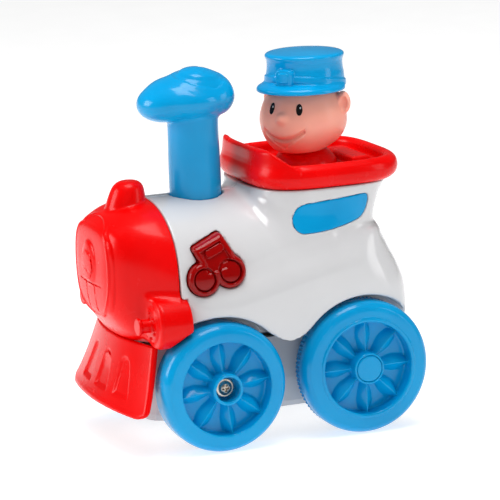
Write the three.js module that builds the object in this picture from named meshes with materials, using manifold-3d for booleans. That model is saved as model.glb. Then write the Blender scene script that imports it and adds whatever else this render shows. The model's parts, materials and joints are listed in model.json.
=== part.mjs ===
// A press-and-go toy locomotive with a driver, a lit sound button and a push-down chimney.
// Millimetres, +Z up. The locomotive drives towards -Y, and the sound button is on its +X side.
// The origin is on the ground, under the middle of the overall length and width.
import * as THREE from 'three';
import { mergeVertices } from 'three/addons/utils/BufferGeometryUtils.js';
import Module from 'manifold-3d';

const wasm = await Module();
wasm.setup();

// ---- Driving dimensions ----
const GAP = 0.3;
const WALL = 2.2;

const FRONT_AXLE = { y: -21.1, z: 24.0 };
const REAR_AXLE = { y: 34.6, z: 24.9 };
const WHEEL_INNER_X = 29.0;
const WHEEL_OUTER_X = 41.0;
const HUB_FACE_X = 41.8;
const LIP_RADIUS = 17.2;
const RIM_ROUNDING = 3.7;
const SPOKE_COUNT = 8;
// Turn of the first petal above the rearward direction, in degrees.
const FRONT_PHASE = 7;
const REAR_PHASE = 0;
const ARCH_CLEARANCE = 1.8;
const ARCH_INNER_X = 26.6;

const JOINT_Y = -34.5;
const BODY_BOTTOM = 38.0;
const BODY_TOP = 93.0;
const BOILER = { z: 60.0, halfWidth: 33.6, halfHeight: 29.4, power: 2.15 };
const COVER_FRONT_Y = -58.6;
const CYLINDER = { x: 29.3, z: 49.5, radius: 9.2, front: -45.0 };
const GLAND = { radius: 3.6, front: -51.0 };
const LAMP_Y = -42.6;
const DOOR_BOSS_Z = 68;

const CHIMNEY_Y = -15.2;
const STEM_RADIUS = 10.0;
const STEM_BORE = 8.0;
const STEM_TOP = 113.5;
const STEM_BOTTOM = 80.5;
const SPRING_SEAT_Z = 60.0;

const MODULE = 1.0;
const ADDENDUM = 0.75 * MODULE;
const DEDENDUM = 1.2 * MODULE;
const PINION_TEETH = 12;
const DRIVE_TEETH = 36;
const CLUTCH_TEETH = 14;
const AXLE_TEETH = 22;
const PINION_AXIS = { y: -6.0, z: 38.0 };
const CLUTCH_ANGLE = 0.04;
const GEAR_X = { low: 4.0, high: 8.0 };

const HEAD = { y: 28.9, z: 112.5 };
const HEAD_TOP = 124.0;
const FACE_TURN = THREE.MathUtils.degToRad(38);

const CHASSIS_BOTTOM = 9.0;
const CHASSIS_TOP = BODY_BOTTOM - GAP;
const FLOOR_TOP = CHASSIS_BOTTOM + 2.0;
const CELL = { radius: 5.6, length: 5.4, y: 14.0, z: 16.5 };
const AXLE_RADIUS = 1.5;
const AXLE_SIDES = 16;

// ---- Looks ----
const FINISHES = {
  red: { color: 0xe00010, roughness: 0.28, metalness: 0 },
  blue: { color: 0x0096dc, roughness: 0.28, metalness: 0 },
  white: { color: 0xe6e6ea, roughness: 0.25, metalness: 0 },
  chassis: { color: 0xd4d4d8, roughness: 0.4, metalness: 0 },
  skin: { color: 0xeba591, roughness: 0.4, metalness: 0 },
  lens: { color: 0x7a0000, roughness: 0.12, metalness: 0 },
  nylon: { color: 0xf0ece0, roughness: 0.45, metalness: 0 },
  black: { color: 0x1a1a1c, roughness: 0.5, metalness: 0 },
  board: { color: 0x1f6b3a, roughness: 0.5, metalness: 0 },
  rubber: { color: 0x9a9a9a, roughness: 0.8, metalness: 0 },
  steel: { color: 0xb8b8bc, roughness: 0.25, metalness: 1 },
};

const model = new THREE.Group();

function addPart(name, shape, finish, parent = model) {
  const mesh = new THREE.Mesh(geometryOf(shape), new THREE.MeshStandardMaterial(FINISHES[finish]));
  mesh.name = name;
  parent.add(mesh);
  return mesh;
}

// ---- Solids ----
function solid(geometry) {
  let merged = geometry.clone();
  merged.deleteAttribute('normal');
  merged.deleteAttribute('uv');
  merged = mergeVertices(merged, 1e-4);
  const corners = merged.index.array;
  const kept = [];
  for (let i = 0; i < corners.length; i += 3) {
    const [a, b, c] = [corners[i], corners[i + 1], corners[i + 2]];
    if (a !== b && b !== c && c !== a) {
      kept.push(a, b, c);
    }
  }
  const mesh = new wasm.Mesh({
    numProp: 3,
    vertProperties: new Float32Array(merged.attributes.position.array),
    triVerts: new Uint32Array(kept),
  });
  return new wasm.Manifold(mesh);
}

function geometryOf(shape) {
  const mesh = shape.getMesh();
  const geometry = new THREE.BufferGeometry();
  geometry.setAttribute('position', new THREE.BufferAttribute(new Float32Array(mesh.vertProperties), 3));
  geometry.setIndex(new THREE.BufferAttribute(new Uint32Array(mesh.triVerts), 1));
  geometry.computeVertexNormals();
  return geometry;
}

function join(...shapes) {
  return shapes.reduce((whole, shape) => whole.add(shape));
}

function cut(shape, ...tools) {
  return tools.reduce((rest, tool) => rest.subtract(tool), shape);
}

function box(low, high) {
  const size = high.map((value, i) => value - low[i]);
  const middle = high.map((value, i) => (value + low[i]) / 2);
  return solid(new THREE.BoxGeometry(...size).translate(...middle));
}

// A solid of revolution along Z: the profile is a list of [radius, z] that starts and ends on the axis.
function turned(profile, sides = 24) {
  return new THREE.LatheGeometry(profile.map(([radius, z]) => new THREE.Vector2(radius, z)), sides);
}

function turnedZ(profile, x, y, sides) {
  return solid(turned(profile, sides).rotateX(Math.PI / 2).translate(x, y, 0));
}

// The profile's second number runs along X; side = -1 mirrors it to the other flank.
function turnedX(profile, y, z, side = 1, sides = 24) {
  return solid(turned(profile, sides).rotateZ(-side * Math.PI / 2).translate(0, y, z));
}

function turnedY(profile, x, z, sides) {
  return solid(turned(profile, sides).translate(x, 0, z));
}

function rodProfile(radius, start, end) {
  return start < end
    ? [[0, start], [radius, start], [radius, end], [0, end]]
    : rodProfile(radius, end, start);
}

function rodX(radius, start, end, y, z, sides) {
  return turnedX(rodProfile(radius, start, end), y, z, 1, sides);
}

function rodY(radius, start, end, x, z, sides) {
  return turnedY(rodProfile(radius, start, end), x, z, sides);
}

function rodZ(radius, start, end, x, y, sides) {
  return turnedZ(rodProfile(radius, start, end), x, y, sides);
}

function ball(center, radii, rings = 10, sides = 18) {
  const sphere = new THREE.SphereGeometry(1, sides, rings).rotateX(Math.PI / 2);
  return solid(sphere.scale(...radii).translate(...center));
}

// A prism of an outline in the Y-Z plane, from x = start to x = end.
function prismX(shape, start, end, curveSegments = 4) {
  const options = { depth: end - start, bevelEnabled: false, curveSegments };
  const toYZ = new THREE.Matrix4().makeBasis(
    new THREE.Vector3(0, 1, 0),
    new THREE.Vector3(0, 0, 1),
    new THREE.Vector3(1, 0, 0),
  );
  return solid(new THREE.ExtrudeGeometry(shape, options).applyMatrix4(toYZ).translate(start, 0, 0));
}

// A solid from points and triangles, turned the right way out.
function closedSkin(points, faces) {
  const geometry = new THREE.BufferGeometry().setFromPoints(points);
  geometry.setIndex(faces);
  const skin = solid(geometry);
  if (skin.volume() > 0) {
    return skin;
  }
  geometry.setIndex(faces.reverse());
  return solid(geometry);
}

// A closed skin through rings of equally many points, with a fan over each end.
function loft(rings) {
  const count = rings[0].length;
  const middle = (ring) => ring.reduce((sum, p) => sum.add(p), new THREE.Vector3()).divideScalar(count);
  const points = [...rings.flat(), middle(rings[0]), middle(rings.at(-1))];
  const first = rings.length * count;
  const faces = [];
  for (let k = 0; k < count; k += 1) {
    const next = (k + 1) % count;
    for (let r = 0; r + 1 < rings.length; r += 1) {
      const [a, b] = [r * count + k, r * count + next];
      const [c, d] = [a + count, b + count];
      faces.push(a, b, d, a, d, c);
    }
    const last = (rings.length - 1) * count;
    faces.push(first, next, k, first + 1, last + k, last + next);
  }
  return closedSkin(points, faces);
}

// A closed plate between two grids of points of the same size.
function slab(front, back) {
  const rows = front.length;
  const columns = front[0].length;
  const points = [...front.flat(), ...back.flat()];
  const faces = [];
  const quad = (a, b, c, d) => faces.push(a, b, c, a, c, d);
  const frontAt = (r, k) => r * columns + k;
  const backAt = (r, k) => rows * columns + r * columns + k;
  for (let r = 0; r + 1 < rows; r += 1) {
    for (let k = 0; k + 1 < columns; k += 1) {
      quad(frontAt(r, k), frontAt(r, k + 1), frontAt(r + 1, k + 1), frontAt(r + 1, k));
      quad(backAt(r, k), backAt(r + 1, k), backAt(r + 1, k + 1), backAt(r, k + 1));
    }
    quad(frontAt(r, 0), frontAt(r + 1, 0), backAt(r + 1, 0), backAt(r, 0));
    const end = columns - 1;
    quad(frontAt(r, end), backAt(r, end), backAt(r + 1, end), frontAt(r + 1, end));
  }
  for (let k = 0; k + 1 < columns; k += 1) {
    quad(frontAt(0, k), backAt(0, k), backAt(0, k + 1), frontAt(0, k + 1));
    const top = rows - 1;
    quad(frontAt(top, k), frontAt(top, k + 1), backAt(top, k + 1), backAt(top, k));
  }
  return closedSkin(points, faces);
}

function superPoint(angle, halfWidth, halfHeight, power) {
  const bend = (value) => Math.sign(value) * Math.abs(value) ** (2 / power);
  return [halfWidth * bend(Math.cos(angle)), halfHeight * bend(Math.sin(angle))];
}

function superRing(count, place) {
  return Array.from({ length: count }, (_, k) => place((2 * Math.PI * k) / count));
}

// ---- Body outline, shared by the shell halves and the pieces that sit in them ----
const BIG = 200;

function boilerSolid(inset, front, back) {
  const section = (y) => superRing(28, (angle) => {
    const [x, z] = superPoint(angle, BOILER.halfWidth - inset, BOILER.halfHeight - inset, BOILER.power);
    return new THREE.Vector3(x, y, BOILER.z + z);
  });
  return loft([section(front), section(back)]);
}

// Plan sections of the fenders and cab, from the skirt up: [z, half width, front y, rear y, corner power].
const BELLY_SECTIONS = [
  [36, 36.8, -36, 57.8, 5],
  [46, 37.7, -36, 58.4, 5],
  [54, 37.0, -34, 57.6, 4.6],
  [60, 35.6, -10, 55.4, 4.2],
  [67, 33.7, 0, 51.9, 3.8],
  [75, 31.5, 2.6, 48.6, 3.4],
  [85, 30.4, 0.6, 50.8, 3.3],
  [94, 30.0, 2.0, 55.8, 3.6],
];

function bellySolid(inset) {
  const rings = BELLY_SECTIONS.map(([z, halfWidth, front, rear, power], i, all) => {
    const level = inset > 0 && i === 0 ? z - 1 : z;
    const top = inset > 0 && i === all.length - 1 ? level + 1 : level;
    return superRing(28, (angle) => {
      const [x, y] = superPoint(angle, halfWidth - inset, (rear - front) / 2 - inset, power);
      return new THREE.Vector3(x, (front + rear) / 2 + y, top);
    });
  });
  return loft(rings);
}

function wheelArches(extra) {
  const wells = [[FRONT_AXLE, FRONT_AXLE.z], [REAR_AXLE, REAR_AXLE.z]].flatMap(([axle, radius]) => (
    [-1, 1].map((side) => rodX(
      radius + ARCH_CLEARANCE + extra,
      side * (ARCH_INNER_X - extra),
      side * 60,
      axle.y,
      axle.z,
      32,
    ))
  ));
  return join(...wells);
}

const bodyOuter = join(boilerSolid(0, JOINT_Y - 4, 24), bellySolid(0))
  .intersect(box([-BIG, JOINT_Y, BODY_BOTTOM], [BIG, BIG, BODY_TOP]));
const bodyCavity = join(boilerSolid(WALL, JOINT_Y - 8, 22), bellySolid(WALL));
const bodySkin = cut(bodyOuter, bodyCavity);

// ---- Outlines on the flanks ----
function windowShape(grow) {
  const shape = new THREE.Shape();
  shape.moveTo(9.0 - grow, 80.2);
  shape.quadraticCurveTo(9.4 - grow, 85.6 + grow, 14.4, 86.4 + grow);
  shape.lineTo(36.6, 88.0 + grow);
  shape.quadraticCurveTo(39.6 + grow, 88.4 + grow, 39.4 + grow, 85.6);
  shape.quadraticCurveTo(38.4 + grow, 80.0, 33.6 + grow / 2, 78.6 - grow);
  shape.quadraticCurveTo(24.0, 75.6 - grow, 13.2, 75.6 - grow);
  shape.quadraticCurveTo(9.4 - grow, 75.8 - grow, 9.0 - grow, 80.2);
  return shape;
}

// Two round note heads under a slanted beam, the outline of the sound button.
const NOTE_HEADS = [{ y: -26.1, z: 63.9 }, { y: -15.9, z: 66.0 }];
const NOTE_HEAD_RADIUS = 6.0;
const NOTE_PROUD = 2.6;
const BEAM = [[-28.7, 75.0], [-17.2, 79.2], [-13.3, 71.2], [-15.4, 66.0], [-25.6, 64.0], [-26.8, 69.4]];
const BEAM_CENTER = [-21.0, 71.5];

function noteSolid(grow, start, end) {
  const heads = NOTE_HEADS.map(({ y, z }) => rodX(NOTE_HEAD_RADIUS + grow, start, end, y, z, 16));
  const beam = new THREE.Shape(BEAM.map(([y, z]) => {
    const [dy, dz] = [y - BEAM_CENTER[0], z - BEAM_CENTER[1]];
    const scale = 1 + (1.3 * grow) / Math.hypot(dy, dz);
    return new THREE.Vector2(BEAM_CENTER[0] + dy * scale, BEAM_CENTER[1] + dz * scale);
  }));
  return join(...heads, prismX(beam, start, end));
}

// A skin that follows the boiler: standing proud by one amount, hollow from another inwards.
function boilerLayer(outside, inside) {
  return cut(boilerSolid(-outside, -60, 20), boilerSolid(-inside, -70, 30));
}

// ---- Screws: plain shanks, built along +Z with the head at the top ----
function screwSolid(length, headRadius, flangeRadius, shankRadius, sides = 10) {
  return turnedZ([[0, -length], [shankRadius, 1.2 - length], [shankRadius, 0], [flangeRadius, 0],
    [flangeRadius, 0.8], [headRadius, 0.8], [headRadius, 1.6], [0, 2.4]], 0, 0, sides);
}

function crossRecess(shape, reach) {
  const bar = (x, y) => box([-x, -y, 1.3], [x, y, 4]);
  return cut(shape, bar(reach, 0.35), bar(0.35, reach));
}

// ---- Gears about X ----
function gearShape(teeth, toothAngle) {
  const pitch = (teeth * MODULE) / 2;
  const [root, tip] = [pitch - DEDENDUM, pitch + ADDENDUM];
  const step = (2 * Math.PI) / teeth;
  const shape = new THREE.Shape();
  const corners = [[root, -0.27], [tip, -0.09], [tip, 0.09], [root, 0.27]];
  for (let tooth = 0; tooth < teeth; tooth += 1) {
    corners.forEach(([radius, offset], i) => {
      const angle = toothAngle + step * (tooth + offset);
      const point = [radius * Math.cos(angle), radius * Math.sin(angle)];
      if (tooth === 0 && i === 0) {
        shape.moveTo(...point);
      } else {
        shape.lineTo(...point);
      }
    });
  }
  shape.closePath();
  return shape;
}

// toothAngle is where the middle of one tooth points, from +Y towards +Z.
function gearSolid(teeth, toothAngle, start, end) {
  return prismX(gearShape(teeth, toothAngle), start, end);
}

function placed(shape, y, z) {
  return shape.translate([0, y, z]);
}

const driveRadius = (DRIVE_TEETH * MODULE) / 2;
const clutchRadius = (CLUTCH_TEETH * MODULE) / 2;
const CLUTCH_AXIS = {
  y: PINION_AXIS.y + (driveRadius + clutchRadius) * Math.cos(CLUTCH_ANGLE),
  z: PINION_AXIS.z + (driveRadius + clutchRadius) * Math.sin(CLUTCH_ANGLE),
};

// ---- Chassis ----
const CHASSIS_FRONT = -42.5;
const CHASSIS_REAR = 49.5;

function chassisSolid(inset, bottom, top) {
  const levels = [[bottom, 18.8], [bottom + 2.4, 20.8], [bottom + 12, 23.6], [top, 25.8]];
  const middle = (CHASSIS_FRONT + CHASSIS_REAR) / 2;
  const reach = (CHASSIS_REAR - CHASSIS_FRONT) / 2;
  const rings = levels.map(([z, halfWidth]) => superRing(24, (angle) => {
    const [x, y] = superPoint(angle, halfWidth - inset, reach - inset, 6);
    return new THREE.Vector3(x, middle + y, z);
  }));
  return loft(rings);
}

const BASE_SCREWS = [[-16, -31], [16, -31], [-13, 44.4], [13, 44.4]];
const STUB = { radius: 2.6, end: 36.9 };
const BAY = { x: 10.4, y: 7.6, wall: 1.2, top: 22.3 };
const DOOR = { x: 13.4, front: 3.6, rear: 24.4 };
const SPEAKER = { y: -29.6, radius: 10.2 };
const SWITCH = { x: -10, y: -8 };
const COW_SCREW_Z = 30;

function chassisBase() {
  let base = cut(
    chassisSolid(0, CHASSIS_BOTTOM, CHASSIS_TOP),
    chassisSolid(2.0, FLOOR_TOP, CHASSIS_TOP + 1),
  );
  for (const side of [-1, 1]) {
    base = base.add(turnedX([[0, 21], [4.8, 21], [4.8, 26.2], [STUB.radius, 28.2],
      [STUB.radius, STUB.end], [0, STUB.end]], FRONT_AXLE.y, FRONT_AXLE.z, side, 14));
    base = base.add(rodX(4.2, side * 21, side * 27.8, REAR_AXLE.y, REAR_AXLE.z, 12));
  }
  for (const [x, y] of BASE_SCREWS) {
    base = base.add(rodZ(3.6, CHASSIS_BOTTOM + 1, CHASSIS_TOP, x, y, 8));
  }
  const bayFront = CELL.y - BAY.y;
  const bayRear = CELL.y + BAY.y;
  base = base.add(box([-BAY.x, bayFront, FLOOR_TOP - 1], [BAY.x, bayRear, BAY.top + 1]));
  for (const side of [-1, 1]) {
    base = base.subtract(rodX(1.4, side * 14, side * 40, FRONT_AXLE.y, FRONT_AXLE.z, 6));
  }
  for (const [x, y] of BASE_SCREWS) {
    base = base.subtract(rodZ(1.4, 8, 40, x, y, 6));
    base = base.subtract(rodZ(2.9, 8, 28.6, x, y, 8));
  }
  base = base.subtract(rodX(AXLE_RADIUS + 0.12, -30, 30, REAR_AXLE.y, REAR_AXLE.z, AXLE_SIDES));
  const holes = [[0, 0], ...superRing(6, (angle) => [5 * Math.cos(angle), 5 * Math.sin(angle)])];
  for (const [x, y] of holes) {
    base = base.subtract(rodZ(0.9, 8, 12, x, SPEAKER.y + y, 6));
  }
  return cut(
    base,
    box([-DOOR.x - GAP, DOOR.front - GAP, 8], [DOOR.x + GAP, DOOR.rear + GAP, CHASSIS_BOTTOM + 1.1]),
    box([BAY.wall - BAY.x, bayFront + BAY.wall, 8], [BAY.x - BAY.wall, bayRear - BAY.wall, BAY.top]),
    rodZ(1.1, 8, 14, 0, DOOR.rear - 1.4, 10),
    rodY(1.4, -50, -38, 0, COW_SCREW_Z, 12),
    box([SWITCH.x - 1.9, SWITCH.y - 4.2, 8], [SWITCH.x + 1.9, SWITCH.y + 4.2, 12]),
  );
}

const SHELL_SCREWS = [[-31.4, 79], [30, 62], [4, 79]];

// ---- Shell halves ----
function shellBlank() {
  const skin = cut(
    bodyOuter,
    cut(bodyCavity, wheelArches(WALL), box([-BIG, -BIG, 0], [BIG, BIG, BODY_BOTTOM - 5])),
    wheelArches(0),
  );
  const posts = BASE_SCREWS.map(([x, y]) => cut(
    rodZ(3.4, BODY_BOTTOM, 80, x, y, 8),
    rodZ(1.25, BODY_BOTTOM - 1, BODY_BOTTOM + 14, x, y, 8),
  ).intersect(bodyOuter));
  const bosses = SHELL_SCREWS.map(([y, z]) => rodX(3.3, -40, 40, y, z, 8).intersect(bodyOuter));
  const chimneyHole = rodZ(STEM_RADIUS + 0.35, 70, 100, 0, CHIMNEY_Y, 24);
  return cut(
    join(skin, ...posts, ...bosses),
    chimneyHole,
    noteSolid(0.35, 20, 50),
    prismX(windowShape(0.3), -50, -20),
    prismX(windowShape(0.3), 20, 50),
  );
}

function shellHalves() {
  const blank = shellBlank();
  const halfX = 0.12;
  let left = blank.intersect(box([halfX, -BIG, 0], [BIG, BIG, BIG]));
  let right = blank.intersect(box([-BIG, -BIG, 0], [-halfX, BIG, BIG]));
  for (const [y, z] of SHELL_SCREWS) {
    left = left.subtract(rodX(1.3, -1, 12, y, z, 8));
    right = right.subtract(rodX(1.5, -14, 1, y, z, 8));
    right = right.subtract(rodX(2.9, -60, -8, y, z, 8));
  }
  return { left, right };
}

// ---- Smokebox cover, with its cylinders, glands and lamp ----
// Sections from the joint forwards: [y, half width, top z, bottom z, power].
const COVER_SECTIONS = [
  [JOINT_Y, 33.6, 89.4, 33.0, 2.15],
  [-39.5, 31.8, 88.8, 34.6, 2.2],
  [-45.0, 27.8, 86.8, 38.2, 2.35],
  [-50.5, 22.8, 83.6, 42.2, 2.5],
  [-54.8, 18.2, 80.0, 46.4, 2.6],
  [-57.6, 14.0, 75.8, 50.8, 2.5],
  [COVER_FRONT_Y, 8.0, 70.0, 56.6, 2.2],
];

function coverSolid(inset) {
  const rings = COVER_SECTIONS.map(([y, halfWidth, top, bottom, power], i) => superRing(26, (angle) => {
    const [x, z] = superPoint(angle, halfWidth - inset, (top - bottom) / 2 - inset, power);
    return new THREE.Vector3(x, i === 0 ? y + inset / 2 : y + inset, (top + bottom) / 2 + z);
  }));
  return loft(rings);
}

function smokeboxCover() {
  const rear = JOINT_Y - GAP;
  let cover = coverSolid(0);
  for (const side of [-1, 1]) {
    const x = side * CYLINDER.x;
    cover = cover.add(turnedY([[0, CYLINDER.front], [7.9, CYLINDER.front], [CYLINDER.radius, CYLINDER.front + 1.3],
      [CYLINDER.radius, JOINT_Y], [0, JOINT_Y]], x, CYLINDER.z, 16));
    cover = cover.add(rodY(GLAND.radius, GLAND.front, CYLINDER.front + 2, x, CYLINDER.z, 10));
  }
  const lamp = [[0, 80], [7.4, 80], [7.4, 91.4], [6.2, 94.4], [3.6, 96.0], [0, 96.6]];
  cover = cover.add(turnedZ(lamp, 0, LAMP_Y, 16));
  cover = cut(cover, coverSolid(WALL), box([-BIG, rear, 0], [BIG, BIG, BIG]));
  for (const side of [-1, 1]) {
    cover = cover.subtract(rodY(6.4, CYLINDER.front + 3, 0, side * CYLINDER.x, CYLINDER.z, 12));
  }
  const doorBoss = turnedY([[0, COVER_FRONT_Y - 0.8], [4.2, COVER_FRONT_Y - 0.6], [5.6, COVER_FRONT_Y + 1.6],
    [0, COVER_FRONT_Y + 1.6]], 0, DOOR_BOSS_Z, 14);
  return cut(cover.add(doorBoss), box([-BIG, -BIG, 0], [BIG, BIG, 40.2]), wheelArches(0));
}

// ---- Cowcatcher ----
const COW = { bottomZ: 15.0, topZ: 39.8, bottomHalf: 40.0, topHalf: 29.0, bottomY: -54.5, topY: -45.6, bow: 5.0 };

function cowcatcher() {
  const thickness = 2.4;
  const columns = 14;
  const face = (offset) => [0, 0.15, 0.4, 0.7, 1].map((up) => {
    const halfWidth = THREE.MathUtils.lerp(COW.bottomHalf, COW.topHalf, up ** 0.8) - 0.2 * offset;
    const edgeY = THREE.MathUtils.lerp(COW.bottomY, COW.topY, up ** 0.7) + offset;
    return Array.from({ length: columns + 1 }, (_, k) => {
      const across = (2 * k) / columns - 1;
      const corner = Math.max(0, (Math.abs(across) - 0.8) / 0.2) ** 2;
      const z = THREE.MathUtils.lerp(COW.bottomZ + 1.8 * corner, COW.topZ, up);
      return new THREE.Vector3(across * halfWidth, edgeY - COW.bow * (1 - across * across), z);
    });
  });
  const blade = slab(face(0), face(thickness));
  const boss = rodY(3.4, -52.2, CHASSIS_FRONT - GAP, 0, COW_SCREW_Z, 12);
  return cut(join(blade, boss), rodY(1.35, -50.4, CHASSIS_FRONT, 0, COW_SCREW_Z, 8));
}

// ---- Wheels ----
function petal(side, degrees) {
  const outline = [[5.0, -1.3], [10.5, -2.9], [15.0, -2.4], [16.4, 0], [15.0, 2.4], [10.5, 2.9], [5.0, 1.3]];
  const shape = new THREE.Shape(outline.map((point) => new THREE.Vector2(...point)));
  const flat = prismX(shape, 36.4, 39.2);
  const petalShape = flat.rotate([degrees, 0, 0]);
  return side > 0 ? petalShape : petalShape.mirror([1, 0, 0]);
}

// The wheel's dish, rim and hub as one profile about X.
function wheelBlank(radius, side, bore, phase) {
  const round = RIM_ROUNDING;
  const corner = Array.from({ length: 3 }, (_, k) => {
    const angle = (k / 2) * (Math.PI / 2);
    return [radius - round * (1 - Math.cos(angle)), WHEEL_OUTER_X - round * (1 - Math.sin(angle))];
  });
  const profile = [
    [0, WHEEL_INNER_X + 1.2],
    [7.4, WHEEL_INNER_X + 1.2],
    [8.4, WHEEL_INNER_X + 5],
    [radius - 4, WHEEL_INNER_X + 5],
    [radius - 3.2, WHEEL_INNER_X],
    [radius, WHEEL_INNER_X],
    ...corner,
    [LIP_RADIUS, WHEEL_OUTER_X - 0.6],
    [LIP_RADIUS - 0.6, WHEEL_OUTER_X - 4.0],
    [6.6, WHEEL_OUTER_X - 4.2],
    [5.7, HUB_FACE_X],
    [0, HUB_FACE_X],
  ];
  let wheel = turnedX(profile, 0, 0, side, 24);
  for (let k = 0; k < SPOKE_COUNT; k += 1) {
    wheel = wheel.add(petal(side, phase + (k * 360) / SPOKE_COUNT));
  }
  return wheel.subtract(turnedX(bore, 0, 0, side, 16));
}

const RETAINER_SEAT_X = 36.4;

function frontWheel(side) {
  const bore = [[0, 20], [STUB.radius + 0.15, 20], [STUB.radius + 0.15, RETAINER_SEAT_X],
    [4.6, RETAINER_SEAT_X], [4.6, 50], [0, 50]];
  return placed(wheelBlank(FRONT_AXLE.z, side, bore, FRONT_PHASE), FRONT_AXLE.y, FRONT_AXLE.z);
}

const CAP_SEAT_X = 38.8;

function rearWheel(side) {
  const bore = [[0, 20], [AXLE_RADIUS + 0.1, 20], [AXLE_RADIUS + 0.1, CAP_SEAT_X],
    [5.0, CAP_SEAT_X], [5.0, 50], [0, 50]];
  const wheel = wheelBlank(REAR_AXLE.z, side, bore, REAR_PHASE);
  return placed(wheel, REAR_AXLE.y, REAR_AXLE.z);
}

// ---- Cab tray ----
const TRAY_FLOOR = 93.6;
// [z, half width, front y, rear y] from the seat on the cab up to the rim.
const TRAY_OUTER = [
  [BODY_TOP + GAP, 28.6, 3.0, 56.2],
  [94.6, 30.8, 1.4, 58.2],
  [96.4, 31.6, 0.8, 59.2],
  [98.4, 31.2, 1.4, 59.0],
  [99.8, 30.0, 2.6, 58.2],
];

function trayRing(z, halfWidth, front, rear, inset = 0) {
  return superRing(28, (angle) => {
    const [x, y] = superPoint(angle, halfWidth - inset, (rear - front) / 2 - inset, 3.6);
    return new THREE.Vector3(x, (front + rear) / 2 + y, z);
  });
}

function cabTray() {
  const outer = loft(TRAY_OUTER.map((level) => trayRing(...level)));
  const inner = loft([
    trayRing(TRAY_FLOOR + 1.8, 24.6, 9.0, 51.4),
    trayRing(97.2, 26.4, 6.6, 54.0),
    trayRing(101, 27.6, 5.4, 55.6),
  ]);
  const panel = box([-23.5, 2.2, 96], [23.5, 5.4, 106.2]).intersect(
    loft([[95, 31], [99, 29], [103, 25.4], [105, 24], [106.3, 22.5]].map(([z, halfWidth]) => (
      trayRing(z, halfWidth, 1.6 + (z - 95) * 0.06, 59)
    ))),
  );
  const bench = box([-13, 42.5, TRAY_FLOOR + 1], [13, 49.5, 98.4]);
  const spigot = cut(
    loft([trayRing(88.6, 26.6, 4.6, 48.4), trayRing(BODY_TOP + 0.8, 26.6, 5.0, 50.4)]),
    loft([trayRing(88, 24.8, 6.4, 46.4), trayRing(BODY_TOP + 0.1, 24.8, 6.8, 48.4)]),
  );
  const bowl = join(cut(outer, inner), panel, bench, spigot);
  return cut(bowl, rodZ(3.4, 85, 100, 0, HEAD.y, 20));
}

// ---- Driver ----
function driverNeck() {
  return turnedZ([[0, 88], [3.1, 88], [3.1, 95.7], [11.5, 95.7], [10.6, 99.0], [8.6, 100.6],
    [4.2, 100.9], [4.2, 108], [3.4, 109], [0, 109]], 0, HEAD.y, 20)
    .subtract(rodZ(1.1, 86, 98, 0, HEAD.y, 12));
}

const driver = new THREE.Group();
driver.position.set(0, HEAD.y, 0);
driver.rotation.z = FACE_TURN;
model.add(driver);

// Built facing -Y about the neck's axis.
function driverHead() {
  const skull = ball([0, 0.4, HEAD.z + 4.5], [14.2, 14.4, 13.6], 8, 16);
  const cheeks = ball([0, -0.6, HEAD.z - 1.2], [16.2, 14.8, 10.6], 8, 16);
  const nose = ball([0, -15.2, HEAD.z + 2.2], [2.3, 2.2, 2.1], 6, 8);
  const ears = [-1, 1].map((side) => ball([side * 16.0, 3.0, HEAD.z + 6.6], [2.8, 3.0, 4.4], 6, 8));
  const chin = ball([0, -3, HEAD.z - 7.4], [9.6, 9.4, 4.6], 6, 12);
  const whole = join(skull, cheeks, nose, chin, ...ears);
  const aboveTop = box([-BIG, -BIG, HEAD_TOP], [BIG, BIG, BIG]);
  const belowChin = box([-BIG, -BIG, 90], [BIG, BIG, 101.3]);
  return cut(whole, rodZ(4.45, 90, 109.4, 0, 0, 24), belowChin, aboveTop);
}

function driverCap() {
  const seat = HEAD_TOP + GAP;
  const crown = turnedZ([[0, seat], [14.0, seat], [14.5, seat + 0.6], [14.5, 130.6], [13.9, 131.2],
    [13.7, 133], [14.4, 136.2], [14.2, 137.6], [13.0, 138.4], [0, 138.6]], 0, 0, 20);
  const brim = turnedZ([[0, 122.4], [19.6, 122.4], [19.9, 123.2], [19.4, 124.0], [14, 126], [0, 126]], 0, -1.6, 20);
  const peak = cut(brim.intersect(box([-13.5, -BIG, 100], [13.5, -6, BIG])), rodZ(14.0, 100, seat, 0, 0, 20));
  const badge = box([-3.4, -15.8, 126.6], [3.4, -13.4, 132.0]);
  const strap = cut(
    turnedZ([[0, 127.6], [14.9, 127.6], [14.9, 130.4], [0, 130.4]], 0, 0, 20),
    turnedZ([[0, 127], [13.6, 127], [13.6, 131], [0, 131]], 0, 0, 20),
  );
  return join(crown, peak, badge, strap);
}

// ---- Chimney plunger ----
function chimneyPlunger() {
  const stem = turnedZ([[0, STEM_BOTTOM], [12.2, STEM_BOTTOM], [12.2, STEM_BOTTOM + 2],
    [STEM_RADIUS, STEM_BOTTOM + 2.2], [STEM_RADIUS, 100], [9.6, STEM_TOP], [9.6, 118], [0, 118]], 0, CHIMNEY_Y, 22);
  const cloud = [
    ball([0, -17.6, 125.2], [14.6, 17.4, 8.2], 8, 18),
    ball([0, -26.8, 123.6], [10.6, 8.9, 6.8], 6, 12),
    ball([0, -8.2, 124.6], [12.4, 9.0, 7.6], 6, 12),
    ball([1.0, -13.8, 129.6], [10.4, 9.8, 7.0], 6, 12),
  ];
  return cut(join(stem, ...cloud), rodZ(STEM_BORE, STEM_BOTTOM - 1, 112, 0, CHIMNEY_Y, 16));
}

const RACK = { halfX: 2.6, backY: CHIMNEY_Y - 2.4, pitchY: PINION_AXIS.y - (PINION_TEETH * MODULE) / 2, bottom: 33.4 };

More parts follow.
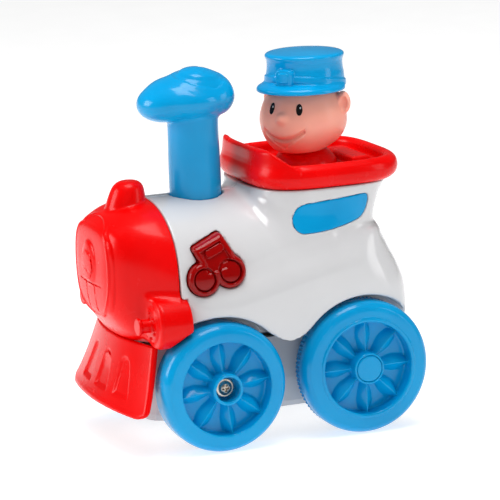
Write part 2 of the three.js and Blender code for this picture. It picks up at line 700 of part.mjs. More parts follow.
function plungerRack() {
  const pitch = Math.PI * MODULE;
  const rootY = RACK.pitchY - DEDENDUM;
  const tipY = RACK.pitchY + ADDENDUM;
  const bar = box([-RACK.halfX, RACK.backY, RACK.bottom], [RACK.halfX, rootY, 108]);
  const disc = rodZ(7.5, 108, 111.7, 0, CHIMNEY_Y, 28);
  const teeth = [];
  for (let k = -1; k <= 6; k += 1) {
    const z = PINION_AXIS.z + (k + 0.5) * pitch;
    const tooth = new THREE.Shape([
      new THREE.Vector2(rootY - 0.2, z - 0.27 * pitch),
      new THREE.Vector2(tipY, z - 0.09 * pitch),
      new THREE.Vector2(tipY, z + 0.09 * pitch),
      new THREE.Vector2(rootY - 0.2, z + 0.27 * pitch),
    ]);
    teeth.push(prismX(tooth, -RACK.halfX, RACK.halfX));
  }
  return join(bar, disc, ...teeth);
}

class Helix extends THREE.Curve {
  constructor(radius, low, high, turns) {
    super();
    Object.assign(this, { radius, low, high, turns });
  }

  getPoint(t, target = new THREE.Vector3()) {
    const angle = 2 * Math.PI * this.turns * t;
    const z = this.low + (this.high - this.low) * t;
    return target.set(this.radius * Math.cos(angle), this.radius * Math.sin(angle), z);
  }
}

function springSolid(radius, wire, low, high, turns, x, y) {
  const section = new THREE.Shape(superRing(4, (angle) => (
    new THREE.Vector2(wire * Math.cos(angle), wire * Math.sin(angle))
  )));
  const path = new Helix(radius, low, high, turns);
  return solid(new THREE.ExtrudeGeometry(section, { extrudePath: path, steps: turns * 8 }).translate(x, y, 0));
}

// ---- Gearbox ----
function plateShape() {
  const shape = new THREE.Shape();
  shape.moveTo(-24, 30);
  shape.lineTo(-24, 57.4);
  shape.lineTo(-2, 57.4);
  shape.lineTo(26, 46);
  shape.lineTo(39.8, 34);
  shape.lineTo(39.8, 20.6);
  shape.lineTo(24, 20.6);
  shape.lineTo(23, 25);
  shape.lineTo(-10, 30);
  shape.closePath();
  return shape;
}

const AXLE_PASS = AXLE_RADIUS + 0.15;

function plate(start, end) {
  return cut(
    prismX(plateShape(), start, end),
    rodX(AXLE_PASS, start - 1, end + 1, PINION_AXIS.y, PINION_AXIS.z, 20),
    rodX(AXLE_PASS, start - 1, end + 1, CLUTCH_AXIS.y, CLUTCH_AXIS.z, 20),
    rodX(AXLE_PASS + 0.1, start - 1, end + 1, REAR_AXLE.y, REAR_AXLE.z, 20),
  );
}

function gearboxFrame() {
  const bridge = box([-9.6, -24, 57.2], [9.6, -4.6, 59.2]);
  const seat = turnedZ([[0, 58.6], [8.6, 58.6], [8.6, SPRING_SEAT_Z], [0, SPRING_SEAT_Z]], 0, CHIMNEY_Y, 28);
  const passage = box(
    [-RACK.halfX - 0.4, RACK.backY - 0.4, 50],
    [RACK.halfX + 0.4, RACK.pitchY + 0.75 + 0.4, 70],
  );
  const spacer = rodX(1.5, -9.5, 9.2, -22.3, 53.4, 12);
  return cut(join(plate(-9.6, -8.0), bridge, seat, spacer), passage);
}

// ---- Chassis, body and trim ----
addPart('chassis_base', chassisBase(), 'chassis');
const halves = shellHalves();
addPart('shell_left', halves.left, 'white');
addPart('shell_right', halves.right, 'white');
addPart('smokebox_cover', smokeboxCover(), 'red');
addPart('cowcatcher', cowcatcher(), 'red');
addPart('cab_tray', cabTray(), 'red');
for (const [name, start, end] of [['window_left', 20, 50], ['window_right', -50, -20]]) {
  addPart(name, bodySkin.intersect(prismX(windowShape(0), start, end)), 'blue');
}

const wheelScrew = crossRecess(screwSolid(9, 2.25, 3.6, 1.2, 14), 1.6);

function addScrew(name, shape, position, rotation) {
  const mesh = addPart(name, shape, 'steel');
  mesh.position.set(...position);
  mesh.rotation.set(...rotation);
}

const caseScrew = screwSolid(16, 2.2, 2.4, 1.1);
BASE_SCREWS.forEach(([x, y], i) => {
  addScrew(`base_screw_${i + 1}`, caseScrew, [x, y, 28.3], [Math.PI, 0, 0]);
});
SHELL_SCREWS.forEach(([y, z], i) => {
  addScrew(`shell_screw_${i + 1}`, caseScrew, [-8.3, y, z], [0, -Math.PI / 2, 0]);
});
const shortScrew = screwSolid(8.4, 2.2, 2.6, 1.1);
addScrew('cowcatcher_screw', shortScrew, [0, CHASSIS_FRONT + 2.2, COW_SCREW_Z], [-Math.PI / 2, 0, 0]);

// ---- Running gear ----
for (const [name, side] of [['left', 1], ['right', -1]]) {
  addPart(`front_wheel_${name}`, frontWheel(side), 'blue');
  addPart(`rear_wheel_${name}`, rearWheel(side), 'blue');
  const cap = turnedX([[0, CAP_SEAT_X + GAP], [4.8, CAP_SEAT_X + GAP], [4.8, HUB_FACE_X - 0.4],
    [4.4, HUB_FACE_X], [0, HUB_FACE_X]], 0, 0, side, 24);
  addPart(`hub_cap_${name}`, placed(cap, REAR_AXLE.y, REAR_AXLE.z), 'blue');
  const screwSeat = [side * (STUB.end + 0.1), FRONT_AXLE.y, FRONT_AXLE.z];
  addScrew(`wheel_screw_${name}`, wheelScrew, screwSeat, [0, side * Math.PI / 2, 0]);
}
addPart('rear_axle', rodX(AXLE_RADIUS, -38.5, 38.5, REAR_AXLE.y, REAR_AXLE.z, 32), 'steel');

// ---- Press mechanism ----
addPart('chimney_plunger', chimneyPlunger(), 'blue');
addPart('plunger_rack', plungerRack(), 'nylon');
addPart('return_spring', springSolid(6.4, 0.45, SPRING_SEAT_Z + 0.8, 107, 8, 0, CHIMNEY_Y), 'steel');
addPart('gearbox_frame', gearboxFrame(), 'nylon');
addPart('gearbox_cover', plate(9.6, 11.2), 'nylon');

const bore = (start, end) => rodX(AXLE_RADIUS + 0.15, start, end, 0, 0, 20);
const driveGear = cut(
  join(
    gearSolid(PINION_TEETH, Math.PI, -3.4, GEAR_X.low),
    gearSolid(DRIVE_TEETH, CLUTCH_ANGLE, GEAR_X.low, GEAR_X.high),
  ),
  bore(-5, 10),
);
addPart('drive_gear', placed(driveGear, PINION_AXIS.y, PINION_AXIS.z), 'nylon');
const clutchTooth = CLUTCH_ANGLE + Math.PI + Math.PI / CLUTCH_TEETH;
const clutchGear = cut(gearSolid(CLUTCH_TEETH, clutchTooth, GEAR_X.low, GEAR_X.high), bore(0, 10));
addPart('clutch_gear', placed(clutchGear, CLUTCH_AXIS.y, CLUTCH_AXIS.z), 'nylon');
const axleGear = cut(
  join(gearSolid(AXLE_TEETH, 0, GEAR_X.low, GEAR_X.high), rodX(4, -6, GEAR_X.low, 0, 0, 24)),
  rodX(AXLE_RADIUS + 0.1, -7, 10, 0, 0, 32),
);
addPart('axle_gear', placed(axleGear, REAR_AXLE.y, REAR_AXLE.z), 'nylon');
for (const [name, axis] of [['drive_shaft', PINION_AXIS], ['clutch_shaft', CLUTCH_AXIS]]) {
  addPart(name, rodX(AXLE_RADIUS, -9.4, 11.0, axis.y, axis.z, 20), 'steel');
}

// ---- Driver ----
addPart('driver_neck', driverNeck(), 'red');
addPart('driver_head', driverHead(), 'skin', driver);
addPart('driver_cap', driverCap(), 'blue', driver);

// ---- Sound and light ----
const BOARD_X = 22.0;
const BOARD_TOP = 71.0;
const noteLens = noteSolid(0, 20, 45).intersect(boilerLayer(NOTE_PROUD, -WALL - 1.5));
const noteHollow = noteSolid(-1.6, 19, 46).intersect(boilerLayer(NOTE_PROUD - 1.8, -WALL - 5));
const noteLip = cut(noteSolid(1.0, 20, 45), noteSolid(-1.6, 19, 46))
  .intersect(boilerLayer(-WALL - GAP, -WALL - 1.5));
const noteButton = join(cut(noteLens, noteHollow), noteLip);
addPart('note_button', noteButton, 'lens');
addPart('circuit_board', cut(
  box([BOARD_X, -30, 54.5], [BOARD_X + 1.6, -6, BOARD_TOP]),
  rodX(1.1, BOARD_X - 1, BOARD_X + 3, -8.4, 56.6, 12),
), 'board');
const dome = turnedX([[0, BOARD_X + 3.4], [2.4, BOARD_X + 3.4], [2.4, BOARD_X + 1.9], [3.6, BOARD_X + 1.9],
  [3.2, 26.4], [0, 27.0]], -20.6, 70, 1, 16);
addPart('rubber_dome', dome, 'rubber');
const led = turnedX([[0, BOARD_X + 1.9], [1.9, BOARD_X + 1.9], [1.9, 25.6], [1.5, 26.6], [0, 27.1]], -25.6, 62.6, 1, 12);
addPart('note_led', led, 'lens');
const speaker = turnedZ([[0, FLOOR_TOP + GAP], [SPEAKER.radius, FLOOR_TOP + GAP], [SPEAKER.radius, 12.6], [7, 13.4],
  [7, 15.2], [0, 15.2]], 0, SPEAKER.y, 24);
addPart('speaker', speaker, 'black');
const knob = join(
  box([SWITCH.x - 1.4, SWITCH.y - 3.6, 8.7], [SWITCH.x + 1.4, SWITCH.y - 0.6, 12.2]),
  box([SWITCH.x - 2.6, SWITCH.y - 4.0, 11.4], [SWITCH.x + 2.6, SWITCH.y - 0.2, 12.2]),
);
addPart('power_switch', knob, 'black');
addPart('switch_housing', box([SWITCH.x - 3.2, SWITCH.y - 5, 12.6], [SWITCH.x + 3.2, SWITCH.y + 5, 15.6]), 'steel');

for (let i = 0; i < 3; i += 1) {
  const low = -8.6 + i * (CELL.length + GAP);
  addPart(`cell_${i + 1}`, rodX(CELL.radius, low, low + CELL.length, CELL.y, CELL.z, 24), 'steel');
}
const contactShape = (low, high) => box([low, CELL.y - 4, 12.6], [high, CELL.y + 4, 20.4]);
addPart('contact_positive', contactShape(-8.95, -8.7), 'steel');
addPart('contact_negative', contactShape(8.6, 8.9), 'steel');
const door = cut(
  box([-DOOR.x, DOOR.front, CHASSIS_BOTTOM], [DOOR.x, DOOR.rear, CHASSIS_BOTTOM + 0.8]),
  rodZ(1.0, 8, 11, 0, DOOR.rear - 1.4, 14),
);
addPart('battery_door', door, 'chassis');

export default model;
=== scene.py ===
"""Looks of the toy train locomotive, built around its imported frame.

Each visible piece is a moulding, so it is described as a signed distance (below zero inside the plastic),
meshed as a fine closed skin and shaded with the distance's own slope. Lengths are millimetres in the row
frame (forward -Y, up +Z) until a mesh is made, in metres. Floor, lights and camera are placed in metres.
"""
import json
import math

import bpy
import numpy as np
from mathutils import Matrix, Vector


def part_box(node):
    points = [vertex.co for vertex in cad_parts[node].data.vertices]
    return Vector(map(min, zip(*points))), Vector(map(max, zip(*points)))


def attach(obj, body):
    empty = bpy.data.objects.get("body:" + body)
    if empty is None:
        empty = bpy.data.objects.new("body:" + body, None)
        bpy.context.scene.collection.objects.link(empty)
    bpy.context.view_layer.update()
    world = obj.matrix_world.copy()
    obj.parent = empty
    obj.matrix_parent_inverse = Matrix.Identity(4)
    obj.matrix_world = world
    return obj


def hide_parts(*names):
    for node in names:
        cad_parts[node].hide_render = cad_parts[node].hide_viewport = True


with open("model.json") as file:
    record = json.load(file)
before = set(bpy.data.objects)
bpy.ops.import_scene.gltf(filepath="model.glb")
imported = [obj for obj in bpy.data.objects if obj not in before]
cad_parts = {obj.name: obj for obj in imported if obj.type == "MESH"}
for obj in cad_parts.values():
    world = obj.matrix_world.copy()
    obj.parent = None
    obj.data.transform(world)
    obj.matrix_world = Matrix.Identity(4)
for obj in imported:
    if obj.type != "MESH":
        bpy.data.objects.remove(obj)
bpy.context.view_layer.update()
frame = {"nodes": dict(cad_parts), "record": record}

MM = 0.001


def span(node):
    """A CAD node's lowest and highest corner, in millimetres."""
    low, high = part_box(node)
    return np.array(low) / MM, np.array(high) / MM


def middle(node):
    low, high = span(node)
    return (low + high) / 2


# ---- Driving dimensions, from the frame where a node shows them ----
JOINT_Y = span("shell_left")[0][1]
BODY_BOTTOM = span("shell_left")[0][2]
FRONT_WHEEL = middle("front_wheel_left")
REAR_WHEEL = middle("rear_wheel_left")
WHEEL_INNER_X = span("rear_wheel_left")[0][0]
HUB_FACE_X = span("rear_wheel_left")[1][0]
WHEEL_OUTER_X = HUB_FACE_X - 0.8
NECK_Y = middle("driver_neck")[1]
FACE_TURN = math.radians(38)
CHIMNEY_Y = -15.2
BOILER = {"z": 60.0, "half_width": 33.6, "half_height": 29.4, "power": 2.15}
WALL = 2.2
ARCH_CLEARANCE = 1.8
ARCH_INNER_X = 26.6
TRAY_SEAT = 91.5
CYLINDER = {
    "x": 30.0, "z": 48.5, "radius": 9.5, "front": -45.0, "rear": JOINT_Y + 1.9,
    "collar": 6.6, "bolt_circle": 4.9, "flange": 3.2, "gland": 2.5, "bore": 6.4,
}
# What is cut into or lies on a side wall starts this far from the middle.
FLANK_X = 20.0
FINENESS = 1.0


# ---- Distances ----
def blend(a, b, radius):
    """Both shapes, with a fillet of about that radius where they meet."""
    overlap = np.maximum(radius - np.abs(a - b), 0) / radius
    return np.minimum(a, b) - overlap * overlap * radius / 4


def common(a, b, radius):
    """What both shapes share, with its edge rounded."""
    return -blend(-a, -b, radius)


def carve(a, b, radius):
    """Shape a without b, with the edge rounded."""
    return common(a, -b, radius)


def hypot(*sides):
    return np.sqrt(sum(side * side for side in sides))


def superellipse(u, v, half_u, half_v, power):
    a = np.abs(u) / half_u
    b = np.abs(v) / half_v
    size = (a**power + b**power + 1e-9) ** (1 / power)
    lean = 2 * power - 2
    slope = np.sqrt((a / size) ** lean / half_u**2 + (b / size) ** lean / half_v**2 + 1e-9)
    return (size - 1) / slope


def ellipsoid(x, y, z, center, radii):
    offset = [(value - c) / r for value, c, r in zip((x, y, z), center, radii)]
    size = hypot(*offset)
    slope = hypot(*[value / r for value, r in zip(offset, radii)])
    return size * (size - 1) / np.maximum(slope, 1e-6)


def capsule(x, y, z, start, end, start_radius, end_radius=None):
    """A rod with round ends whose radius may change along it."""
    end_radius = start_radius if end_radius is None else end_radius
    along = np.subtract(end, start)
    share = sum((value - s) * a for value, s, a in zip((x, y, z), start, along)) / along.dot(along)
    share = np.clip(share, 0, 1)
    offset = [value - s - share * a for value, s, a in zip((x, y, z), start, along)]
    return hypot(*offset) - start_radius - share * (end_radius - start_radius)


def slab(value, low, high):
    return np.maximum(low - value, value - high)


def disc(u, v, w, radius, low, high, edge=0.4):
    """A short cylinder along w."""
    return common(hypot(u, v) - radius, slab(w, low, high), edge)


def outline(u, v, points):
    """Signed distance from a closed outline of straight stretches."""
    nearest = np.full(np.broadcast(u, v).shape, np.inf)
    inside = np.zeros(nearest.shape, bool)
    for (au, av), (bu, bv) in zip(points, points[1:] + points[:1]):
        du, dv = bu - au, bv - av
        share = np.clip(((u - au) * du + (v - av) * dv) / (du * du + dv * dv), 0, 1)
        nearest = np.minimum(nearest, hypot(u - au - share * du, v - av - share * dv))
        if dv:
            crosses = ((av <= v) != (bv <= v)) & (u < au + (v - av) * du / dv)
            inside = inside ^ crosses
    return np.where(inside, -nearest, nearest)


def curve(start, *bends, steps=8):
    """An outline from quadratic bends, each given as (control, end)."""
    points = [start]
    for control, end in bends:
        begin = points[-1]
        for k in range(1, steps + 1):
            t = k / steps
            points.append(tuple(
                (1 - t) ** 2 * b + 2 * t * (1 - t) * c + t * t * e for b, c, e in zip(begin, control, end)
            ))
    return points[:-1] if points[-1] == points[0] else points


def through(knots, values):
    """A smooth curve through the given values, level beyond its ends."""
    order = np.argsort(knots)
    knots = np.array(knots, float)[order]
    values = np.array(values, float)[order]
    slopes = np.gradient(values, knots)

    def at(t):
        i = np.clip(np.searchsorted(knots, t) - 1, 0, len(knots) - 2)
        width = knots[i + 1] - knots[i]
        s = np.clip((t - knots[i]) / width, 0, 1)
        return (
            (1 + 2 * s) * (1 - s) ** 2 * values[i] + s * s * (3 - 2 * s) * values[i + 1]
            + s * (1 - s) ** 2 * width * slopes[i] - s * s * (1 - s) * width * slopes[i + 1]
        )

    return at


# ---- Meshing ----
def slope_at(distance, points, step):
    center = distance(*points.T)
    shifted = [distance(*(points + step * axis).T) for axis in np.eye(3)]
    return center, np.stack([(value - center) / step for value in shifted], 1)


def settle(distance, points, cell):
    """Draws the points onto the surface and returns them with its outward directions."""
    for _ in range(4):
        value, slope = slope_at(distance, points, 0.05 * cell)
        move = slope * (value / np.maximum((slope**2).sum(1), 0.09))[:, None]
        length = np.linalg.norm(move, axis=1, keepdims=True)
        points = points - move * np.minimum(1, 0.5 * cell / np.maximum(length, 1e-9))
    ahead = [distance(*(points + 0.3 * cell * axis).T) - distance(*(points - 0.3 * cell * axis).T)
             for axis in np.eye(3)]
    normals = np.stack(ahead, 1)
    return points, normals / np.maximum(np.linalg.norm(normals, axis=1, keepdims=True), 1e-9)


def surface_net(distance, low, high, cell):
    """Corner points and faces of the surface where the distance is zero."""
    axes = [np.arange(a - 1.5 * cell, b + 2.5 * cell, cell) for a, b in zip(low, high)]
    shape = tuple(len(axis) for axis in axes)
    places = np.meshgrid(*axes, indexing="ij", sparse=True)
    value = np.array(np.broadcast_to(distance(*places), shape), np.float32)
    inside = value < 0
    corners = [np.array((i, j, k)) for i in (0, 1) for j in (0, 1) for k in (0, 1)]

    def at_corner(grid, c):
        return grid[c[0]:shape[0] - 1 + c[0], c[1]:shape[1] - 1 + c[1], c[2]:shape[2] - 1 + c[2]]

    count = sum(at_corner(inside, c).astype(np.int8) for c in corners)
    mixed = (count > 0) & (count < 8)
    cells = np.argwhere(mixed)
    number = np.full(mixed.shape, -1, np.int64)
    number[mixed] = np.arange(len(cells))
    values = [at_corner(value, c)[mixed] for c in corners]
    total = np.zeros((len(cells), 3))
    crossings = np.zeros(len(cells))
    for a in range(8):
        for b in range(a + 1, 8):
            if np.abs(corners[a] - corners[b]).sum() != 1:
                continue
            crosses = (values[a] < 0) != (values[b] < 0)
            share = np.where(crosses, values[a] / np.where(crosses, values[a] - values[b], 1), 0)
            total += crosses[:, None] * (corners[a] + share[:, None] * (corners[b] - corners[a]))
            crossings += crosses
    origin = np.array([axis[0] for axis in axes])
    points = origin + (cells + total / crossings[:, None]) * cell
    faces = []
    for axis in range(3):
        step, e, f = np.roll(np.eye(3, dtype=int), -axis, axis=0)
        lower = inside[tuple(slice(1 - s, n - 1) if not s else slice(0, n - 1) for s, n in zip(step, shape))]
        upper = inside[tuple(slice(1, n) if s else slice(1, n - 1) for s, n in zip(step, shape))]
        node = np.argwhere(lower != upper) + (1 - step)
        outward = inside[tuple(node.T)]
        ring = [number[tuple((node - back).T)] for back in (e + f, f, 0 * e, e)]
        quads = np.stack(ring, 1)
        quads[~outward] = quads[~outward][:, ::-1]
        faces.append(quads)
    return points, np.concatenate(faces)


def mesh_object(name, points, faces, normals):
    mesh = bpy.data.meshes.new(name)
    mesh.vertices.add(len(points))
    mesh.vertices.foreach_set("co", (points * MM).astype(np.float32).ravel())
    mesh.loops.add(faces.size)
    mesh.loops.foreach_set("vertex_index", faces.ravel().astype(np.int32))
    mesh.polygons.add(len(faces))
    mesh.polygons.foreach_set("loop_start", np.arange(0, faces.size, 4, dtype=np.int32))
    mesh.update(calc_edges=True)
    mesh.validate()
    mesh.shade_smooth()
    mesh.normals_split_custom_set_from_vertices(normals.astype(np.float32).tolist())
    piece = bpy.data.objects.new(name, mesh)
    bpy.context.scene.collection.objects.link(piece)
    return piece


def skin(name, distance, low, high, cell, finish, body, nodes=(), mirrored=None):
    """Meshes a piece, rides it on its body and lets it stand for CAD nodes.

    mirrored gives the name, body and CAD nodes of a twin across X = 0.
    """
    cell *= FINENESS
    points, faces = surface_net(distance, low, high, cell)
    points, normals = settle(distance, points, cell)
    made = [(name, points, faces, normals, body, nodes)]
    if mirrored:
        flip = np.array([-1, 1, 1])
        twin_name, twin_body, twin_nodes = mirrored
        made.append((twin_name, points * flip, faces[:, ::-1], normals * flip, twin_body, twin_nodes))
    for piece_name, co, quads, directions, carrier, stands_for in made:
        piece = mesh_object(piece_name, co, quads, directions)
        piece.data.materials.append(finish)
        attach(piece, carrier)
        if stands_for:
            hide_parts(*stands_for)


# ---- Materials ----
def moulded(name, deep, light, roughness=(0.16, 0.26), patch=30.0, grain=900.0, relief=0.05, soft=0.0,
            coat=0.08, clear=0.0, metal=0.0, shine=0.13):
    """Moulded plastic: slow colour drift, flow marks in the gloss and a faint skin texture."""
    material = bpy.data.materials.new(name)
    material.use_nodes = True
    nodes = material.node_tree.nodes
    links = material.node_tree.links
    shader = nodes["Principled BSDF"]
    place = nodes.new("ShaderNodeTexCoord")
    drift = nodes.new("ShaderNodeTexNoise")
    drift.inputs["Scale"].default_value = patch
    drift.inputs["Detail"].default_value = 3
    links.new(place.outputs["Object"], drift.inputs["Vector"])
    tone = nodes.new("ShaderNodeValToRGB")
    tone.color_ramp.elements[0].position = 0.3
    tone.color_ramp.elements[0].color = (*deep, 1)
    tone.color_ramp.elements[1].position = 0.7
    tone.color_ramp.elements[1].color = (*light, 1)
    links.new(drift.outputs["Fac"], tone.inputs["Fac"])
    links.new(tone.outputs["Color"], shader.inputs["Base Color"])
    flow = nodes.new("ShaderNodeTexNoise")
    flow.inputs["Scale"].default_value = patch * 4
    flow.inputs["Detail"].default_value = 4
    links.new(place.outputs["Object"], flow.inputs["Vector"])
    gloss = nodes.new("ShaderNodeMapRange")
    gloss.inputs["To Min"].default_value = roughness[0]
    gloss.inputs["To Max"].default_value = roughness[1]
    links.new(flow.outputs["Fac"], gloss.inputs["Value"])
    links.new(gloss.outputs["Result"], shader.inputs["Roughness"])
    fine = nodes.new("ShaderNodeTexNoise")
    fine.inputs["Scale"].default_value = grain
    links.new(place.outputs["Object"], fine.inputs["Vector"])
    bump = nodes.new("ShaderNodeBump")
    bump.inputs["Strength"].default_value = relief
    bump.inputs["Distance"].default_value = 0.0002
    links.new(fine.outputs["Fac"], bump.inputs["Height"])
    links.new(bump.outputs["Normal"], shader.inputs["Normal"])
    shader.inputs["Metallic"].default_value = metal
    shader.inputs["Specular IOR Level"].default_value = 0.5 if metal else shine
    shader.inputs["Coat Weight"].default_value = coat
    shader.inputs["Coat Roughness"].default_value = 0.08
    shader.inputs["Transmission Weight"].default_value = clear
    if soft:
        shader.inputs["Subsurface Weight"].default_value = soft
        shader.inputs["Subsurface Radius"].default_value = (1.0, 0.35, 0.2)
        shader.inputs["Subsurface Scale"].default_value = 0.003
    return material


RED = moulded("red_abs", (0.72, 0.0002, 0.0002), (0.86, 0.0006, 0.001), roughness=(0.2, 0.32))
BLUE = moulded("blue_abs", (0.0, 0.28, 0.60), (0.0, 0.35, 0.71), coat=0.3)
WHITE = moulded("white_abs", (0.62, 0.62, 0.63), (0.66, 0.66, 0.67), roughness=(0.12, 0.2), relief=0.03,
                coat=0.5, shine=0.4)
GREY = moulded("grey_abs", (0.50, 0.51, 0.54), (0.56, 0.57, 0.60), roughness=(0.3, 0.42))
SKIN = moulded("skin_vinyl", (0.93, 0.39, 0.29), (0.97, 0.44, 0.34), roughness=(0.3, 0.42), soft=0.2,
               coat=0.2)
LENS = moulded("red_lens", (0.30, 0.0, 0.0), (0.40, 0.0006, 0.0006), roughness=(0.04, 0.09), clear=0.2,
               coat=0.1, relief=0.01)
NYLON = moulded("natural_nylon", (0.62, 0.60, 0.54), (0.70, 0.68, 0.62), roughness=(0.4, 0.55), soft=0.2)
BLACK = moulded("black_plastic", (0.006, 0.005, 0.005), (0.016, 0.014, 0.014), roughness=(0.12, 0.22))
BOARD = moulded("circuit_board", (0.01, 0.11, 0.04), (0.02, 0.17, 0.06), patch=140.0, roughness=(0.3, 0.5))
RUBBER = moulded("grey_rubber", (0.20, 0.20, 0.21), (0.27, 0.27, 0.28), roughness=(0.6, 0.75), coat=0.0)
STEEL = moulded("plated_steel", (0.42, 0.37, 0.31), (0.62, 0.57, 0.50), patch=400.0, roughness=(0.2, 0.38),
                coat=0.0, metal=1.0, relief=0.12)

SLOT_FINISH = {
    "red_plastic": RED, "blue_plastic": BLUE, "white_plastic": WHITE, "grey_plastic": GREY,
    "skin_vinyl": SKIN, "red_lens": LENS, "nylon": NYLON, "black_plastic": BLACK,
    "circuit_board": BOARD, "grey_rubber": RUBBER, "steel": STEEL,
}


def finish_cad_nodes():
    """Every CAD node that stays gets its slot's procedural finish."""
    slot_of = {part["node"]: part["material_slot"] for part in frame["record"]["subparts"]}
    for name, node in frame["nodes"].items():
        node.data.materials.clear()
        node.data.materials.append(SLOT_FINISH[slot_of[name]])


# ---- Body halves ----
CAB_HALF = through([56, 67, 75, 85, 94], [33.4, 32.6, 31.4, 30.4, 30.0])
CAB_FRONT = through([56, 67, 75, 85, 94], [2.4, 2.4, 2.2, 1.8, 2.0])
CAB_REAR = through([36, 46, 54, 60, 67, 75, 85, 94], [57.8, 58.4, 57.6, 55.4, 51.9, 48.6, 50.8, 55.8])
FENDER_HALF = through([36, 46, 54, 62, 70], [37.0, 38.2, 38.2, 37.7, 37.2])
FENDER_CREST = through([-36, -17, 0, 10, 25, 40, 58], [53.6, 56.8, 61.1, 63.7, 66.5, 68.1, 68.6])
FENDER_LEAN = math.radians(56)
FENDER_FRONT = 40
CAB_POWER = 3.5
FENDER_POWER = 4.8
BARREL_END_Y = 24.0


def boiler(x, z, proud=0.0):
    """The boiler's outside, or the same form that much further out."""
    height = z - BOILER["z"]
    return superellipse(x, height, BOILER["half_width"], BOILER["half_height"], BOILER["power"]) - proud


def outer_body(x, y, z):
    rear = CAB_REAR(z)
    front = CAB_FRONT(z)
    cab = superellipse(x, y - (front + rear) / 2, CAB_HALF(z), (rear - front) / 2, CAB_POWER)
    barrel = common(boiler(x, z), y - BARREL_END_Y, 2.0)
    upper = blend(cab, barrel, 5.0)
    half = FENDER_HALF(z)
    sides = superellipse(x, y - (rear - FENDER_FRONT) / 2, half, (rear + FENDER_FRONT) / 2, FENDER_POWER)
    crest = FENDER_CREST(y)
    roof = (z - crest) * math.cos(FENDER_LEAN) + (np.abs(x) - half + 0.9) * math.sin(FENDER_LEAN)
    fender = common(sides, common(roof, z - crest - 7.0, 2.0), 2.4)
    return blend(upper, fender, 2.2)


def wheel_wells(x, y, z, grow=0.0):
    return np.minimum(*[
        common(
            hypot(y - wheel[1], z - wheel[2]) - wheel[2] - ARCH_CLEARANCE - grow,
            ARCH_INNER_X - grow - np.abs(x),
            1.5,
        )
        for wheel in (FRONT_WHEEL, REAR_WHEEL)
    ])


WINDOW = curve(
    (11.2, 80.2),
    ((11.6, 85.6), (16.6, 86.4)),
    ((27.7, 87.2), (38.8, 88.0)),
    ((41.8, 88.4), (41.6, 85.6)),
    ((40.6, 80.0), (35.8, 78.6)),
    ((26.2, 75.6), (15.4, 75.6)),
    ((11.6, 75.8), (11.2, 80.2)),
)
WINDOW_SET_BACK = 0.12
WINDOW_THICKNESS = 1.8
NOTE_HEADS = [(-26.1, 63.9), (-15.9, 66.0)]
NOTE_HEAD_RADIUS = 6.0
NOTE_PROUD = 2.6
BEAM = [(-28.7, 75.0), (-17.2, 79.2), (-13.3, 71.2), (-15.4, 66.0), (-25.6, 64.0), (-26.8, 69.4)]
BEAM_ROUNDING = 1.2


def note_shape(y, z):
    beam_middle = np.mean(BEAM, axis=0)
    inner = []
    for corner in np.array(BEAM):
        outward = corner - beam_middle
        inner.append(tuple(corner - outward * BEAM_ROUNDING / np.hypot(*outward)))
    beam = outline(y, z, inner) - BEAM_ROUNDING
    heads = [hypot(y - cy, z - cz) - NOTE_HEAD_RADIUS for cy, cz in NOTE_HEADS]
    return blend(np.minimum(*heads), beam, 0.8)


SCREW_POSTS = [(-16, -31), (16, -31), (-13, 44.4), (13, 44.4)]
POST_RADIUS = 3.4
PILOT_RADIUS = 1.25
POST_TOP = 80
CHIMNEY_HOLE_RADIUS = 10.0
SHELL_HALF = 38.0
SHELL_REAR = 59.0


def shell_half(side):
    def distance(x, y, z):
        outer = outer_body(x, y, z)
        cavity = carve(outer + WALL, wheel_wells(x, y, z, WALL), 0.5)
        wall = np.maximum(outer, -cavity)
        wall = carve(wall, wheel_wells(x, y, z), 1.2)
        floor = common(BODY_BOTTOM - z, -wheel_wells(x, y, z), 6.0)
        posts = np.minimum.reduce([
            np.maximum(hypot(x - px, y - py) - POST_RADIUS, PILOT_RADIUS - hypot(x - px, y - py))
            for px, py in SCREW_POSTS
        ])
        wall = blend(wall, np.maximum(np.maximum(posts, outer + 1), z - POST_TOP), 1.0)
        wall = np.maximum(wall, floor)
        wall = common(wall, np.maximum(JOINT_Y - y, z - TRAY_SEAT), 0.5)
        tail = hypot(np.abs(x) - CYLINDER["x"], z - CYLINDER["z"]) - CYLINDER["radius"] - 0.1
        wall = carve(wall, np.maximum(tail, y - CYLINDER["rear"] - 0.1), 0.3)
        wall = carve(wall, np.maximum(hypot(x, y - CHIMNEY_Y) - CHIMNEY_HOLE_RADIUS, BOILER["z"] - z), 0.4)
        wall = carve(wall, np.maximum(outline(y, z, WINDOW) - 0.05, FLANK_X - np.abs(x)), 0.25)
        if side > 0:
            wall = carve(wall, np.maximum(note_shape(y, z) - 0.3, FLANK_X - x), 0.6)
        return common(wall, 0.1 - side * x, 0.35)

    return distance


def build_shells():
    low, high = span("shell_left")
    for side, name in ((1, "shell_left"), (-1, "shell_right")):
        near, far = (0.0, SHELL_HALF) if side > 0 else (-SHELL_HALF, 0.0)
        skin("body_" + name, shell_half(side), (near, low[1], low[2]), (far, SHELL_REAR, high[2]), 0.75,
             WHITE, "root", [name])


def build_windows():
    def distance(x, y, z):
        face = outer_body(x, y, z) + WINDOW_SET_BACK
        pane = common(np.maximum(face, -face - WINDOW_THICKNESS), outline(y, z, WINDOW) + 0.05, 0.4)
        return np.maximum(pane, FLANK_X - x)

    skin("window_pane_left", distance, (26, 9, 74), (35, 43, 89), 0.45, BLUE, "root", ["window_left"],
         mirrored=("window_pane_right", "root", ["window_right"]))


